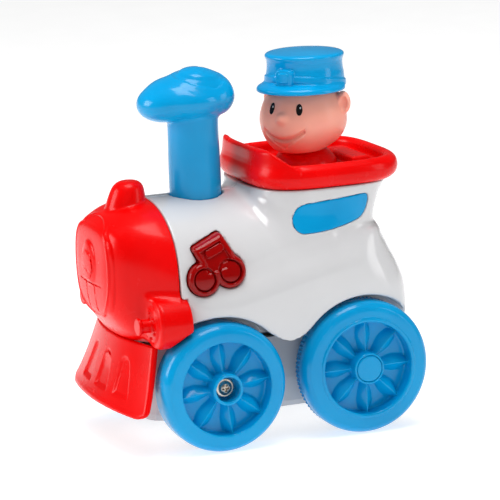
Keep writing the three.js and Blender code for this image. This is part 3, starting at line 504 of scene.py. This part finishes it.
def build_note_button():
    def distance(x, y, z):
        shape = note_shape(y, z)
        skirt = boiler(x, z, 0.2)
        top = boiler(x, z, NOTE_PROUD)
        dish = boiler(x, z, NOTE_PROUD - 1.3)
        bulk = common(common(shape, top, 1.6), -skirt - 3.8, 0.6)
        disc_top = boiler(x, z, NOTE_PROUD - 0.6)
        for cy, cz in NOTE_HEADS:
            bulk = carve(bulk, np.maximum(hypot(y - cy, z - cz) - 4.3, -dish - 0.6), 0.5)
            bulk = blend(bulk, np.maximum(np.maximum(hypot(y - cy, z - cz) - 3.7, disc_top), -dish - 2), 0.3)
        beam = outline(y, z, [tuple(p * 0.72 + np.mean(BEAM, axis=0) * 0.28) for p in np.array(BEAM)])
        bulk = carve(bulk, common(beam, -dish, 0.8), 0.6)
        slot = capsule(0, y, z, (0, -23.2, 73.0), (0, -18.6, 74.7), 1.5)
        bulk = blend(bulk, common(slot, boiler(x, z, NOTE_PROUD - 0.5), 0.5), 0.3)
        flange = np.maximum(np.maximum(shape - 0.9, boiler(x, z, -WALL - 0.4)), -boiler(x, z, -WALL - 1.6))
        bulk = np.minimum(bulk, flange)
        hollow = np.maximum(shape + 1.6, boiler(x, z, 0.2))
        return np.maximum(np.maximum(bulk, -hollow), FLANK_X - x)

    skin("note_lens", distance, (24, -33, 57), (37, -9, 81), 0.32, LENS, "note_button", ["note_button"])


# ---- Smokebox cover ----
COVER_KNOTS = [-34.5, -39.5, -45.0, -50.5, -54.8, -57.6, -58.6]
COVER_HALF = through(COVER_KNOTS, [33.6, 33.0, 31.6, 29.2, 26.0, 21.5, 14.0])
COVER_TOP = through(COVER_KNOTS, [89.4, 89.2, 88.2, 85.8, 82.6, 78.6, 73.0])
COVER_LOW = through(COVER_KNOTS, [31.0, 32.6, 36.2, 41.4, 47.6, 53.0, 58.6])
COVER_POWER = through(COVER_KNOTS, [2.15, 2.2, 2.25, 2.3, 2.3, 2.3, 2.2])
FACE_Y = -58.6
FACE_BULGE = 0.0034
FACE_CORNER = (19.9, -58.0)
FLANK_NORMAL = (0.832, 0.555)
COVER_BOTTOM = 39.9
DOOR = {"z": 66.5, "half_width": 17.6, "half_height": 18.6, "power": 2.3, "line_z": 60.4}
LAMP_Y = -42.6
LAMP_LEAN = 0.16
LAMP_TOP = 96.5
LAMP_RADIUS = through([80, 86, 90, 94, 96.6], [8.2, 7.6, 7.0, 5.8, 4.4])


def dome(x, y, z):
    top, low = COVER_TOP(y), COVER_LOW(y)
    return superellipse(x, z - (top + low) / 2, COVER_HALF(y), (top - low) / 2, COVER_POWER(y))


def even_dome(x, y, z):
    """The dome, cut by its face and flanks, nearly a true distance by its surface.

    Along its centre line the dome's slope is lost, and the distance with it.
    """
    step = 0.4
    value = dome(x, y, z)
    slope = hypot(*[
        (dome(x + step * i, y + step * j, z + step * k) - value) / step
        for i, j, k in ((1, 0, 0), (0, 1, 0), (0, 0, 1))
    ])
    front = FACE_BULGE * x * x + FACE_Y - y
    flank = (np.abs(x) - FACE_CORNER[0]) * FLANK_NORMAL[0] - (y - FACE_CORNER[1]) * FLANK_NORMAL[1]
    return common(common(value / np.maximum(slope, 0.6), front, 4.0), flank, 7.0)


def cover(x, y, z):
    side = np.abs(x)
    body = even_dome(x, y, z)
    inside = body + WALL
    oval = superellipse(x, z - DOOR["z"], DOOR["half_width"], DOOR["half_height"], DOOR["power"])
    on_face = np.maximum(np.abs(body) - 0.5, y + 46)
    body = blend(body, common(np.abs(oval) - 0.35, on_face, 0.5), 0.9)
    plate = ellipsoid(x, y, z, (0, -57.6, 68.0), (5.6, 1.2, 6.6))
    body = blend(body, plate, 2.6)
    u, v = side - CYLINDER["x"], z - CYLINDER["z"]
    front = CYLINDER["front"]
    barrel = disc(u, v, y, CYLINDER["radius"], front, JOINT_Y + 4, 2.0)
    collar = disc(u, v, y, CYLINDER["collar"], front - 0.9, -40, 1.2)
    gland = disc(u, v, y, CYLINDER["gland"], -50.4, -40, 0.5)
    flange = disc(u, v, y, CYLINDER["flange"], -51.0, -49.7, 0.5)
    lamp_reach = hypot(x, y - LAMP_Y - LAMP_LEAN * (z - 88))
    lamp = common(lamp_reach - LAMP_RADIUS(z), z - LAMP_TOP, 2.6)
    lamp = np.maximum(lamp, 80 - z)
    whole = blend(body, barrel, 3.4)
    whole = blend(whole, collar, 0.8)
    bolt_turn = np.arctan2(v, u) % (math.pi / 3) - math.pi / 6
    bolt_reach = hypot(u, v)
    bolt_along = bolt_reach * np.cos(bolt_turn) - CYLINDER["bolt_circle"]
    bolt = hypot(bolt_along, bolt_reach * np.sin(bolt_turn), y + 46.0)
    whole = blend(whole, bolt - 0.7, 0.2)
    whole = blend(whole, np.minimum(gland, flange), 0.6)
    whole = blend(whole, lamp, 1.2)
    line = np.maximum(np.abs(z - DOOR["line_z"]) - 0.2, np.maximum(side - 11, y + 52))
    bars = np.maximum(np.abs(side - 4.2) - 0.2, np.maximum(slab(z, 50, DOOR["line_z"]), y + 52))
    whole = carve(whole, np.maximum(np.minimum(line, bars), -body - 0.45), 0.3)
    bore = disc(u, v, y, CYLINDER["bore"], front + 3, 0, 0.6)
    whole = carve(whole, np.minimum(inside, bore), 0.4)
    wells = wheel_wells(x, y, z, -0.8)
    whole = carve(whole, wells, 0.8)
    whole = common(whole, np.maximum(y - JOINT_Y + 0.2, COVER_BOTTOM - z), 0.7)
    tail = disc(u, v, y, CYLINDER["radius"], JOINT_Y - 3, CYLINDER["rear"], 0.5)
    tail = carve(np.maximum(tail, COVER_BOTTOM - z), wells, 0.8)
    return np.minimum(whole, tail)


def build_cover():
    low, high = span("smokebox_cover")
    half = high[0] + 1.2
    skin("smokebox_moulding", cover, (-half, low[1], low[2] - 0.4), (half, CYLINDER["rear"], high[2]), 0.55,
         RED, "root", ["smokebox_cover"])


# ---- Cowcatcher ----
COW = {
    "bottom_z": 15.0, "top_z": 40.1, "bottom_half": 40.0, "top_half": 30.6,
    "bottom_y": -54.3, "top_y": -45.2, "bow": 5.0, "lean": 0.87,
}
COW_THICKNESS = 2.4
PANEL_CENTERS = (-17.0, 0.0, 17.0)
PANEL_DEPTH = 0.7
BOSS_Z = 30


def cowcatcher(x, y, z):
    up = np.clip((z - COW["bottom_z"]) / (COW["top_z"] - COW["bottom_z"]), 0, 1)
    half = COW["bottom_half"] + (COW["top_half"] - COW["bottom_half"]) * up**0.8
    edge_y = COW["bottom_y"] + (COW["top_y"] - COW["bottom_y"]) * up**0.7
    front = edge_y - COW["bow"] * (1 - np.minimum(np.abs(x) / half, 1.1) ** 2)
    face = (front - y) * COW["lean"]
    panels = []
    for center in PANEL_CENTERS:
        middle_x = center * (1.12 - 0.3 * up)
        reach = 7.8 - 5.6 * up
        rounded = hypot(x - middle_x, np.maximum(z - 31.4, 0)) - reach
        panels.append(common(rounded, 20.0 - z, 1.0))
    panel = np.minimum.reduce(panels)
    floor = np.clip(-panel / 1.9, 0, 1)
    back = (y - front - COW_THICKNESS) * COW["lean"]
    blade = common(face + PANEL_DEPTH * floor * floor * (3 - 2 * floor), back, 1.2)
    corner = np.maximum(0, (np.abs(x) / half - 0.8) / 0.2) ** 2
    blade = common(blade, np.abs(x) - half, 1.6)
    blade = common(blade, COW["bottom_z"] + 1.8 * corner - z, 2.2)
    blade = common(blade, z - COW["top_z"], 0.3)
    boss = np.maximum(hypot(x, z - BOSS_Z) - 3.4, slab(y, -52.2, -42.8))
    boss = np.maximum(boss, -np.maximum(hypot(x, z - BOSS_Z) - 1.35, -50.4 - y))
    return blend(blade, boss, 0.8)


def build_cowcatcher():
    low, high = span("cowcatcher")
    skin("cowcatcher_blade", cowcatcher, low, high, 0.5, RED, "root", ["cowcatcher"])


# ---- Wheels ----
SPOKES = 8
FRONT_PHASE = math.radians(7)
REAR_PHASE = 0.0
LIP_RADIUS = 17.2
WEB_DEPTH = 5.8
HUB_RADIUS = 5.9
PETAL_START = 4.5
PETAL_HEIGHT = 3.3
WHEEL_BODIES = {"front": ("front_wheel_left", "front_wheel_right"), "rear": ("rear_wheels", "rear_wheels")}
LEAF_HALF = through([4.5, 8.0, 11.5, 15.0, 17.6], [1.3, 2.2, 3.0, 2.5, 1.2])


def wheel(x, y, z, center, bore, phase, tread_step):
    v, w = y - center[1], z - center[2]
    radius = center[2]
    r = hypot(v, w)
    angle = np.arctan2(w, v)
    rim = common(common(r - radius, x - WHEEL_OUTER_X, 5.6), LIP_RADIUS - r, 1.0)
    rim = common(rim, WHEEL_INNER_X - x, 0.8)
    groove = np.maximum(np.abs(r - radius + 4.6) - 1.6, WHEEL_OUTER_X - 0.35 - x)
    rim = carve(rim, groove, 0.7)
    rim = carve(rim, np.maximum(r - radius + 3.2, x - WHEEL_INNER_X - 5), 1.2)
    rim = carve(rim, np.maximum(radius - tread_step - r, x - 33.6), 0.4)
    web_x = WHEEL_OUTER_X - WEB_DEPTH
    web = np.maximum(slab(x, WHEEL_INNER_X + 4.6, web_x), r - radius + 2)
    hub = common(r - HUB_RADIUS, slab(x, WHEEL_INNER_X + 1.2, HUB_FACE_X), 0.7)
    sector = 2 * math.pi / SPOKES
    folded = (angle - phase + sector / 2) % sector - sector / 2
    along, across = r * np.cos(folded), r * np.sin(folded)
    half_leaf = LEAF_HALF(along)
    ridge = PETAL_HEIGHT * np.clip(1 - np.abs(across) / half_leaf, 0, 1) ** 0.8
    leaf = np.maximum((x - web_x - ridge) * 0.7, np.abs(across) - half_leaf)
    leaf = np.maximum(leaf, np.maximum(slab(along, PETAL_START, LIP_RADIUS + 0.4), WHEEL_INNER_X + 5 - x))
    whole = blend(rim, web, 0.8)
    whole = blend(whole, leaf, 0.4)
    whole = blend(whole, hub, 0.5)
    return carve(whole, bore(r, x), 0.5)


def build_wheels():
    def front_bore(r, x):
        return np.minimum(r - 2.75, np.maximum(r - 4.6, 36.4 - x))

    def rear_bore(r, x):
        return np.minimum(r - 1.6, np.maximum(r - 5.0, 38.8 - x))

    for kind, center, bore, phase, step in (
        ("front", FRONT_WHEEL, front_bore, FRONT_PHASE, 0.0),
        ("rear", REAR_WHEEL, rear_bore, REAR_PHASE, 0.7),
    ):
        def distance(x, y, z, center=center, bore=bore, phase=phase, step=step):
            return wheel(x, y, z, center, bore, phase, step)

        low, high = span(kind + "_wheel_left")
        left_body, right_body = WHEEL_BODIES[kind]
        skin(f"{kind}_wheel_moulding_left", distance, low, high, 0.55, BLUE, left_body,
             [kind + "_wheel_left"],
             mirrored=(f"{kind}_wheel_moulding_right", right_body, [kind + "_wheel_right"]))


def build_hub_caps():
    low, high = span("hub_cap_left")
    center = middle("hub_cap_left")

    def distance(x, y, z):
        r = hypot(y - center[1], z - center[2])
        return common(r - 4.94, slab(x, low[0], HUB_FACE_X), 0.8)

    skin("hub_cap_disc_left", distance, low, high, 0.25, BLUE, "rear_wheels", ["hub_cap_left"],
         mirrored=("hub_cap_disc_right", "rear_wheels", ["hub_cap_right"]))


def build_wheel_screws():
    low, high = span("wheel_screw_left")
    center = middle("wheel_screw_left")

    def distance(x, y, z):
        v, w = y - center[1], z - center[2]
        r = hypot(v, w)
        seat = 37.0
        flange = common(r - 3.6, slab(x, seat, seat + 0.9), 0.5)
        head = common(ellipsoid(x, v, w, (seat + 0.6, 0, 0), (high[0] - seat - 0.6, 2.4, 2.4)), seat - x, 0.3)
        shank = np.maximum(r - 1.3, slab(x, low[0], seat + 0.2))
        half_width, half_length = 0.38, 1.35
        upright = np.maximum(np.abs(v) - half_width, np.abs(w) - half_length)
        level = np.maximum(np.abs(w) - half_width, np.abs(v) - half_length)
        recess = np.maximum(np.minimum(upright, level), high[0] - 1.3 - x)
        return np.minimum(carve(blend(flange, head, 0.5), recess, 0.3), shank)

    skin("wheel_screw_head_left", distance, low, high, 0.2, STEEL, "root", ["wheel_screw_left"],
         mirrored=("wheel_screw_head_right", "root", ["wheel_screw_right"]))


def build_treads():
    """A finely ribbed band round the inner half of each rear wheel."""
    ribs = 96
    columns = ribs * 6
    turn = np.arange(columns) * 2 * math.pi / columns
    wave = 0.5 + 0.5 * np.clip(np.sin(turn * ribs) * 2.2, -1, 1)
    outer = REAR_WHEEL[2] - 0.55 + 0.5 * wave
    lowest = REAR_WHEEL[2] - 1.7
    underside = REAR_WHEEL[2] - 2.4
    stations = [(29.5, -1.3), (29.9, -0.5), (30.4, 0.0), (32.9, 0.0), (33.3, -0.4), (33.5, -1.3)]

    def ring(x, radius):
        return np.stack([
            np.full(columns, x),
            REAR_WHEEL[1] + radius * np.cos(turn),
            REAR_WHEEL[2] + radius * np.sin(turn),
        ], 1)

    for side, name in ((1, "left"), (-1, "right")):
        rings = [ring(side * station, np.maximum(outer + inset, lowest)) for station, inset in stations]
        rings += [ring(side * station, underside) for station in (stations[-1][0], stations[0][0])]
        points = np.concatenate(rings)
        count = len(rings)
        here = np.arange(columns)
        following = (here + 1) % columns
        quads = []
        for k in range(count):
            a, b = k * columns, ((k + 1) % count) * columns
            quads.append(np.stack([a + here, b + here, b + following, a + following], 1))
        faces = np.concatenate(quads)
        if side > 0:
            faces = faces[:, ::-1]
        mesh = bpy.data.meshes.new("tread_" + name)
        mesh.from_pydata((points * MM).tolist(), [], faces.tolist())
        mesh.update()
        piece = bpy.data.objects.new("tread_" + name, mesh)
        bpy.context.scene.collection.objects.link(piece)
        mesh.materials.append(BLUE)
        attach(piece, "rear_wheels")


# ---- Chimney ----
STEM_RADIUS = through([80, 100, 113.5, 119], [9.6, 9.6, 9.4, 9.5])
CLOUD_CORE = ((0, -17.6, 124.6), (14.7, 17.2, 7.6))
CLOUD_BUMPS = [
    ((0, -27.2, 122.8), (10.2, 8.6, 5.8), 3.0),
    ((0, -22.0, 126.8), (11.0, 9.0, 6.2), 3.0),
    ((0, -6.4, 125.4), (11.0, 6.6, 7.8), 2.6),
    ((0.8, -14.2, 129.2), (10.4, 9.8, 7.1), 2.6),
]
SWIRL = (1.5, -14.5)


def chimney(x, y, z):
    r = hypot(x, y - CHIMNEY_Y)
    stem = common(r - STEM_RADIUS(z), slab(z, 80.5, 119), 0.5)
    flange = common(r - 12.2, slab(z, 80.5, 82.6), 0.6)
    cloud = ellipsoid(x, y, z, *CLOUD_CORE)
    for center, radii, fillet in CLOUD_BUMPS:
        cloud = blend(cloud, ellipsoid(x, y, z, center, radii), fillet)
    swirl_turn = np.arctan2(x - SWIRL[0], -(y - SWIRL[1]))
    swirl_reach = hypot(x - SWIRL[0], y - SWIRL[1])
    spiral = np.abs(swirl_reach - (3.4 + 1.15 * (swirl_turn + math.pi))) - 0.5
    cloud = cloud + 0.45 * np.exp(-np.maximum(spiral, 0) ** 2 / 0.5) * (z > 127)
    whole = blend(cloud, stem, 1.6)
    whole = np.minimum(whole, flange)
    return carve(whole, np.maximum(r - 8.0, slab(z, 70, 112)), 0.4)


def build_chimney():
    low, high = span("chimney_plunger")
    skin("chimney_moulding", chimney, low, high, 0.6, BLUE, "chimney", ["chimney_plunger"])


# ---- Cab tray ----
TRAY_KNOTS = [91.6, 93.2, 95.4, 98.0, 99.8]
TRAY_HALF = through(TRAY_KNOTS, [29.6, 30.9, 31.6, 31.2, 30.4])
TRAY_FRONT = through(TRAY_KNOTS, [3.0, 1.4, 0.8, 1.2, 2.0])
TRAY_REAR = through(TRAY_KNOTS, [56.2, 58.2, 59.2, 59.1, 58.6])
TRAY_POWER = 3.6
TRAY_TOP = 100.4
BOWL_FLOOR = 95.4
BOWL_HALF = 26.6
PANEL_REAR = 59
PANEL_HALF = through([95, 99, 103, 105, 106.3], [31.3, 31.2, 30.8, 30.3, 30.0])


def tray(x, y, z):
    front, rear = TRAY_FRONT(z), TRAY_REAR(z)
    outer = superellipse(x, y - (front + rear) / 2, TRAY_HALF(z), (rear - front) / 2, TRAY_POWER)
    outer = common(common(outer, z - TRAY_TOP, 2.6), TRAY_KNOTS[0] - z, 1.0)
    bowl = superellipse(x, y - 30.4, BOWL_HALF, 24.0, TRAY_POWER)
    bowl = common(bowl, BOWL_FLOOR - z, 2.4)
    rim = carve(outer, bowl, 2.4)
    panel_front = 1.6 + 0.06 * (z - 95)
    half_y = (PANEL_REAR - panel_front) / 2
    panel_plan = superellipse(x, y - (panel_front + PANEL_REAR) / 2, PANEL_HALF(z), half_y, TRAY_POWER)
    panel_top = 106.0 - 0.85 * np.maximum(0, y - 5.5)
    panel_wall = np.maximum(panel_plan, -panel_plan - 2.6)
    panel = common(common(panel_wall, (z - panel_top) * 0.8, 1.2), 95.5 - z, 0.3)
    panel = np.maximum(panel, y - 14)
    bench = common(np.maximum(np.abs(x) - 13, slab(y, 42.5, 50)), z - 98.6, 1.2)
    bench = np.maximum(bench, 94.5 - z)
    whole = blend(rim, panel, 1.6)
    whole = blend(whole, bench, 0.8)
    spigot_plan = superellipse(x, y - 27.0, BOWL_HALF, 22.6, TRAY_POWER)
    spigot = np.maximum(np.maximum(spigot_plan, -spigot_plan - 1.8), slab(z, 88.6, 94.4))
    whole = np.minimum(whole, spigot)
    return carve(whole, np.maximum(hypot(x, y - NECK_Y) - 3.4, slab(z, 90, 97)), 0.3)


def build_tray():
    low, high = span("cab_tray")
    skin("cab_tray_moulding", tray, low, high, 0.6, RED, "root", ["cab_tray"])


def build_neck():
    profile = through([95.7, 97.5, 99.0, 100.9, 103, 108], [12.2, 11.6, 10.6, 8.8, 4.2, 4.2])

    def distance(x, y, z):
        r = hypot(x, y - NECK_Y)
        collar = common((r - profile(z)) * 0.8, slab(z, 95.7, 108.6), 0.8)
        peg = np.maximum(r - 3.1, slab(z, 88, 96))
        return np.minimum(collar, np.maximum(peg, 1.1 - r))

    low, high = span("driver_neck")
    skin("driver_collar", distance, low, high, 0.45, RED, "root", ["driver_neck"])


# ---- Driver, described facing -Y about the neck's axis ----
def turned(shape):
    c, s = math.cos(FACE_TURN), math.sin(FACE_TURN)

    def distance(x, y, z):
        return shape(x * c + (y - NECK_Y) * s, (y - NECK_Y) * c - x * s, z)

    return distance


def on_head(degrees, z, radius):
    angle = math.radians(degrees)
    return radius * math.sin(angle), -radius * math.cos(angle), z


def head_form(x, y, z):
    skull = ellipsoid(x, y, z, (0, 0.2, 117.0), (14.3, 14.4, 13.4))
    cheeks = ellipsoid(x, y, z, (0, -0.4, 111.6), (16.0, 14.6, 10.6))
    form = blend(skull, cheeks, 6.0)
    muzzle = ellipsoid(x, y, z, (0, -8.2, 108.6), (9.6, 8.0, 7.4))
    form = blend(form, muzzle, 5.0)
    chin = ellipsoid(x, y, z, (0, -3.4, 105.0), (9.4, 9.2, 4.4))
    return blend(form, chin, 3.0)


def head(x, y, z):
    form = head_form(x, y, z)
    side = np.abs(x)
    nose = ellipsoid(x, y, z, (0, -15.6, 114.8), (2.4, 2.2, 2.1))
    whole = blend(form, nose, 1.2)
    ear = ellipsoid(side, y, z, (15.3, 3.0, 119.0), (2.9, 2.7, 4.3))
    whole = blend(whole, ear, 1.0)
    concha = ellipsoid(side, y, z, (16.7, 0.6, 119.0), (1.4, 1.9, 2.8))
    whole = carve(whole, concha, 0.7)
    angle = np.degrees(np.arctan2(x, -y))
    smile_z = 107.2 + 0.0036 * angle**2
    near_mouth = np.maximum(np.abs(angle) - 29, y + 5)
    upper = np.maximum((np.abs(z - smile_z) - 0.15) * 0.9, near_mouth * 0.25)
    lower_z = 103.7 + 0.2 * np.abs(angle)
    lower = np.maximum((np.abs(z - lower_z) - 0.1) * 0.9, near_mouth * 0.25)
    upper_crease = 1.2 * np.exp(-np.maximum(upper, 0) ** 2 / 0.24)
    crease = upper_crease + 0.35 * np.exp(-np.maximum(lower, 0) ** 2 / 0.12)
    lip = np.clip((smile_z - z) * (z - lower_z) * 0.8, 0, 1) * (np.abs(angle) < 30) * (y < -4)
    whole = whole + crease * (y < -4) + 0.25 * lip
    for side_sign in (-1, 1):
        cheek = on_head(side_sign * 32, 111.8, 14.7)
        whole = blend(whole, ellipsoid(x, y, z, cheek, (1.5, 1.5, 1.7)), 1.6)
    whole = carve(whole, np.maximum(hypot(x, y) - 4.45, z - 109.4), 0.4)
    return common(whole, slab(z, 101.3, 123.8), 0.6)


EYE_ANGLES = (-20, 24)
EYE_Z = 118.4
EYE_REACH = 14.6
CAP_SHIFT = (0.7, 0.9)


def build_head():
    low, high = (-17.5, NECK_Y - 18.5, 101), (17.5, NECK_Y + 18.5, 124)
    skin("driver_head_vinyl", turned(head), low, high, 0.42, SKIN, "driver", ["driver_head"])

    def near_eye(x, y, z, proud, width, height, shift):
        found = []
        form = head_form(x, y, z)
        for degrees in EYE_ANGLES:
            ex, ey, ez = on_head(degrees + shift[0], EYE_Z + shift[1], EYE_REACH)
            angle = math.radians(degrees)
            across = (x - ex) * math.cos(angle) + (y - ey) * math.sin(angle)
            oval = superellipse(across, z - ez, width, height, 2.0)
            found.append(common(np.maximum(oval, form - proud), -form - 0.5, 0.1))
        return np.minimum(*found)

    def pupils(x, y, z):
        return np.maximum(near_eye(x, y, z, 0.16, 1.2, 2.1, (0, 0)), y + 4)

    def glints(x, y, z):
        return np.maximum(near_eye(x, y, z, 0.24, 0.3, 0.42, (1.6, 0.7)), y + 4)

    low, high = (-2, NECK_Y - 17, 113), (17, NECK_Y + 3, 122)
    skin("driver_eyes", turned(pupils), low, high, 0.2, BLACK, "driver", ())
    skin("driver_eye_glints", turned(glints), low, high, 0.14, WHITE, "driver", ())


CAP_LOW = 124.3
CAP_PROFILE = through([CAP_LOW, 125.2, 127.4, 130.0, 131.8, 134, 136.2, 137.2, 138.6],
                      [14.4, 14.7, 14.7, 14.5, 14.2, 14.1, 14.4, 14.5, 13.4])
CAP_DOMING = 0.0035


def cap(x, y, z):
    x, y = x - CAP_SHIFT[0], y - CAP_SHIFT[1]
    r = hypot(x, y)
    crown = common(r - CAP_PROFILE(z), z - 138.4 + CAP_DOMING * r * r, 1.6)
    crown = common(crown, CAP_LOW - z, 0.3)
    step = common(r - 14.7, slab(z, 135.8, 138.2 - CAP_DOMING * r * r), 1.4)
    crown = blend(crown, step, 0.8)
    strap_z = 129.4 - 0.15 * (y + 14.6)
    strap = common(np.abs(r - CAP_PROFILE(z)) - 0.5, np.abs(z - strap_z) - 1.2, 0.4)
    crown = blend(crown, strap, 0.4)
    peak_r = hypot(x, y + 3.3)
    droop = 126.5 - 0.06 * np.maximum(0, peak_r - 11) ** 2
    peak = common(common(peak_r - 16.6, np.abs(z - droop) - 0.9, 1.0), y - 4.0, 2.0)
    badge = common(common(superellipse(x, z - 130.0, 3.5, 3.1, 4.0), -16.1 - y, 0.7), y + 12, 0.5)
    inlay = common(common(superellipse(x, z - 130.0, 2.2, 1.9, 4.0), -16.5 - y, 0.4), y + 12, 0.5)
    whole = blend(crown, peak, 1.2)
    whole = blend(whole, badge, 0.4)
    return blend(whole, inlay, 0.2)


def build_cap():
    low, high = (-20, NECK_Y - 21.5, 121), (20, NECK_Y + 16, 138.6)
    skin("driver_cap_moulding", turned(cap), low, high, 0.42, BLUE, "driver", ["driver_cap"])


# ---- Set ----
def build_stage():
    floor_mesh = bpy.data.meshes.new("floor")
    reach = 12.0
    corners = [(-reach, -reach, 0), (reach, -reach, 0), (reach, reach, 0), (-reach, reach, 0)]
    floor_mesh.from_pydata(corners, [], [(0, 1, 2, 3)])
    floor = bpy.data.objects.new("floor", floor_mesh)
    bpy.context.scene.collection.objects.link(floor)
    paper = moulded("floor_paper", (0.58, 0.58, 0.58), (0.62, 0.62, 0.62), roughness=(0.7, 0.9), coat=0.0,
                    relief=0.0)
    shader = paper.node_tree.nodes["Principled BSDF"]
    shader.inputs["Emission Color"].default_value = (1, 1, 1, 1)
    shader.inputs["Emission Strength"].default_value = 0.68
    floor_mesh.materials.append(paper)


def add_light(name, place, aim, size, power, glossy=True):
    light = bpy.data.lights.new(name, "AREA")
    light.shape = "RECTANGLE"
    light.size, light.size_y = size
    light.energy = power
    holder = bpy.data.objects.new(name, light)
    holder.location = place
    holder.visible_glossy = glossy
    holder.rotation_euler = (Vector(aim) - Vector(place)).to_track_quat("-Z", "Y").to_euler()
    bpy.context.scene.collection.objects.link(holder)


def build_lights():
    world = bpy.data.worlds.new("studio")
    world.use_nodes = True
    background = world.node_tree.nodes["Background"]
    background.inputs["Color"].default_value = (1, 1, 1, 1)
    background.inputs["Strength"].default_value = 0.14
    bpy.context.scene.world = world
    center = (0, 0, 0.06)
    add_light("front_softbox", (-0.3, -0.85, 0.4), center, (0.45, 0.45), 4.2)
    add_light("top_softbox", (0.1, 0.0, 0.9), center, (0.4, 0.5), 4.2)
    add_light("rear_softbox", (0.6, 0.75, 0.35), center, (0.3, 0.6), 1.5)
    add_light("camera_fill", (1.0, -0.4, 0.7), center, (1.0, 1.0), 1.8, glossy=False)
    add_light("wide_top_fill", (0, 0, 1.3), center, (1.6, 1.6), 10.0, glossy=False)


CAMERA_AZIMUTH = math.radians(68.62)
CAMERA_ELEVATION = math.radians(11.81)
CAMERA_ROLL = math.radians(-2.18)
CAMERA_PLACE = Vector((1.1881, -0.4596, 0.3320))


def build_camera():
    right = Vector((math.cos(CAMERA_AZIMUTH), math.sin(CAMERA_AZIMUTH), 0))
    back = Vector((
        math.sin(CAMERA_AZIMUTH) * math.cos(CAMERA_ELEVATION),
        -math.cos(CAMERA_AZIMUTH) * math.cos(CAMERA_ELEVATION),
        math.sin(CAMERA_ELEVATION),
    ))
    up = back.cross(right)
    rolled_right = math.cos(CAMERA_ROLL) * right + math.sin(CAMERA_ROLL) * up
    rolled_up = math.cos(CAMERA_ROLL) * up - math.sin(CAMERA_ROLL) * right
    camera = bpy.data.cameras.new("camera")
    camera.sensor_width = 36
    camera.lens = 252
    camera.clip_start = 0.01
    holder = bpy.data.objects.new("camera", camera)
    turn = Matrix((rolled_right, rolled_up, back)).transposed()
    holder.matrix_world = Matrix.Translation(CAMERA_PLACE) @ turn.to_4x4()
    bpy.context.scene.collection.objects.link(holder)
    bpy.context.scene.camera = holder


finish_cad_nodes()
build_shells()
build_windows()
build_note_button()
build_cover()
build_cowcatcher()
build_wheels()
build_hub_caps()
build_wheel_screws()
build_treads()
build_chimney()
build_tray()
build_neck()
build_head()
build_cap()
build_stage()
build_lights()
build_camera()
bpy.context.scene.view_settings.view_transform = "Standard"
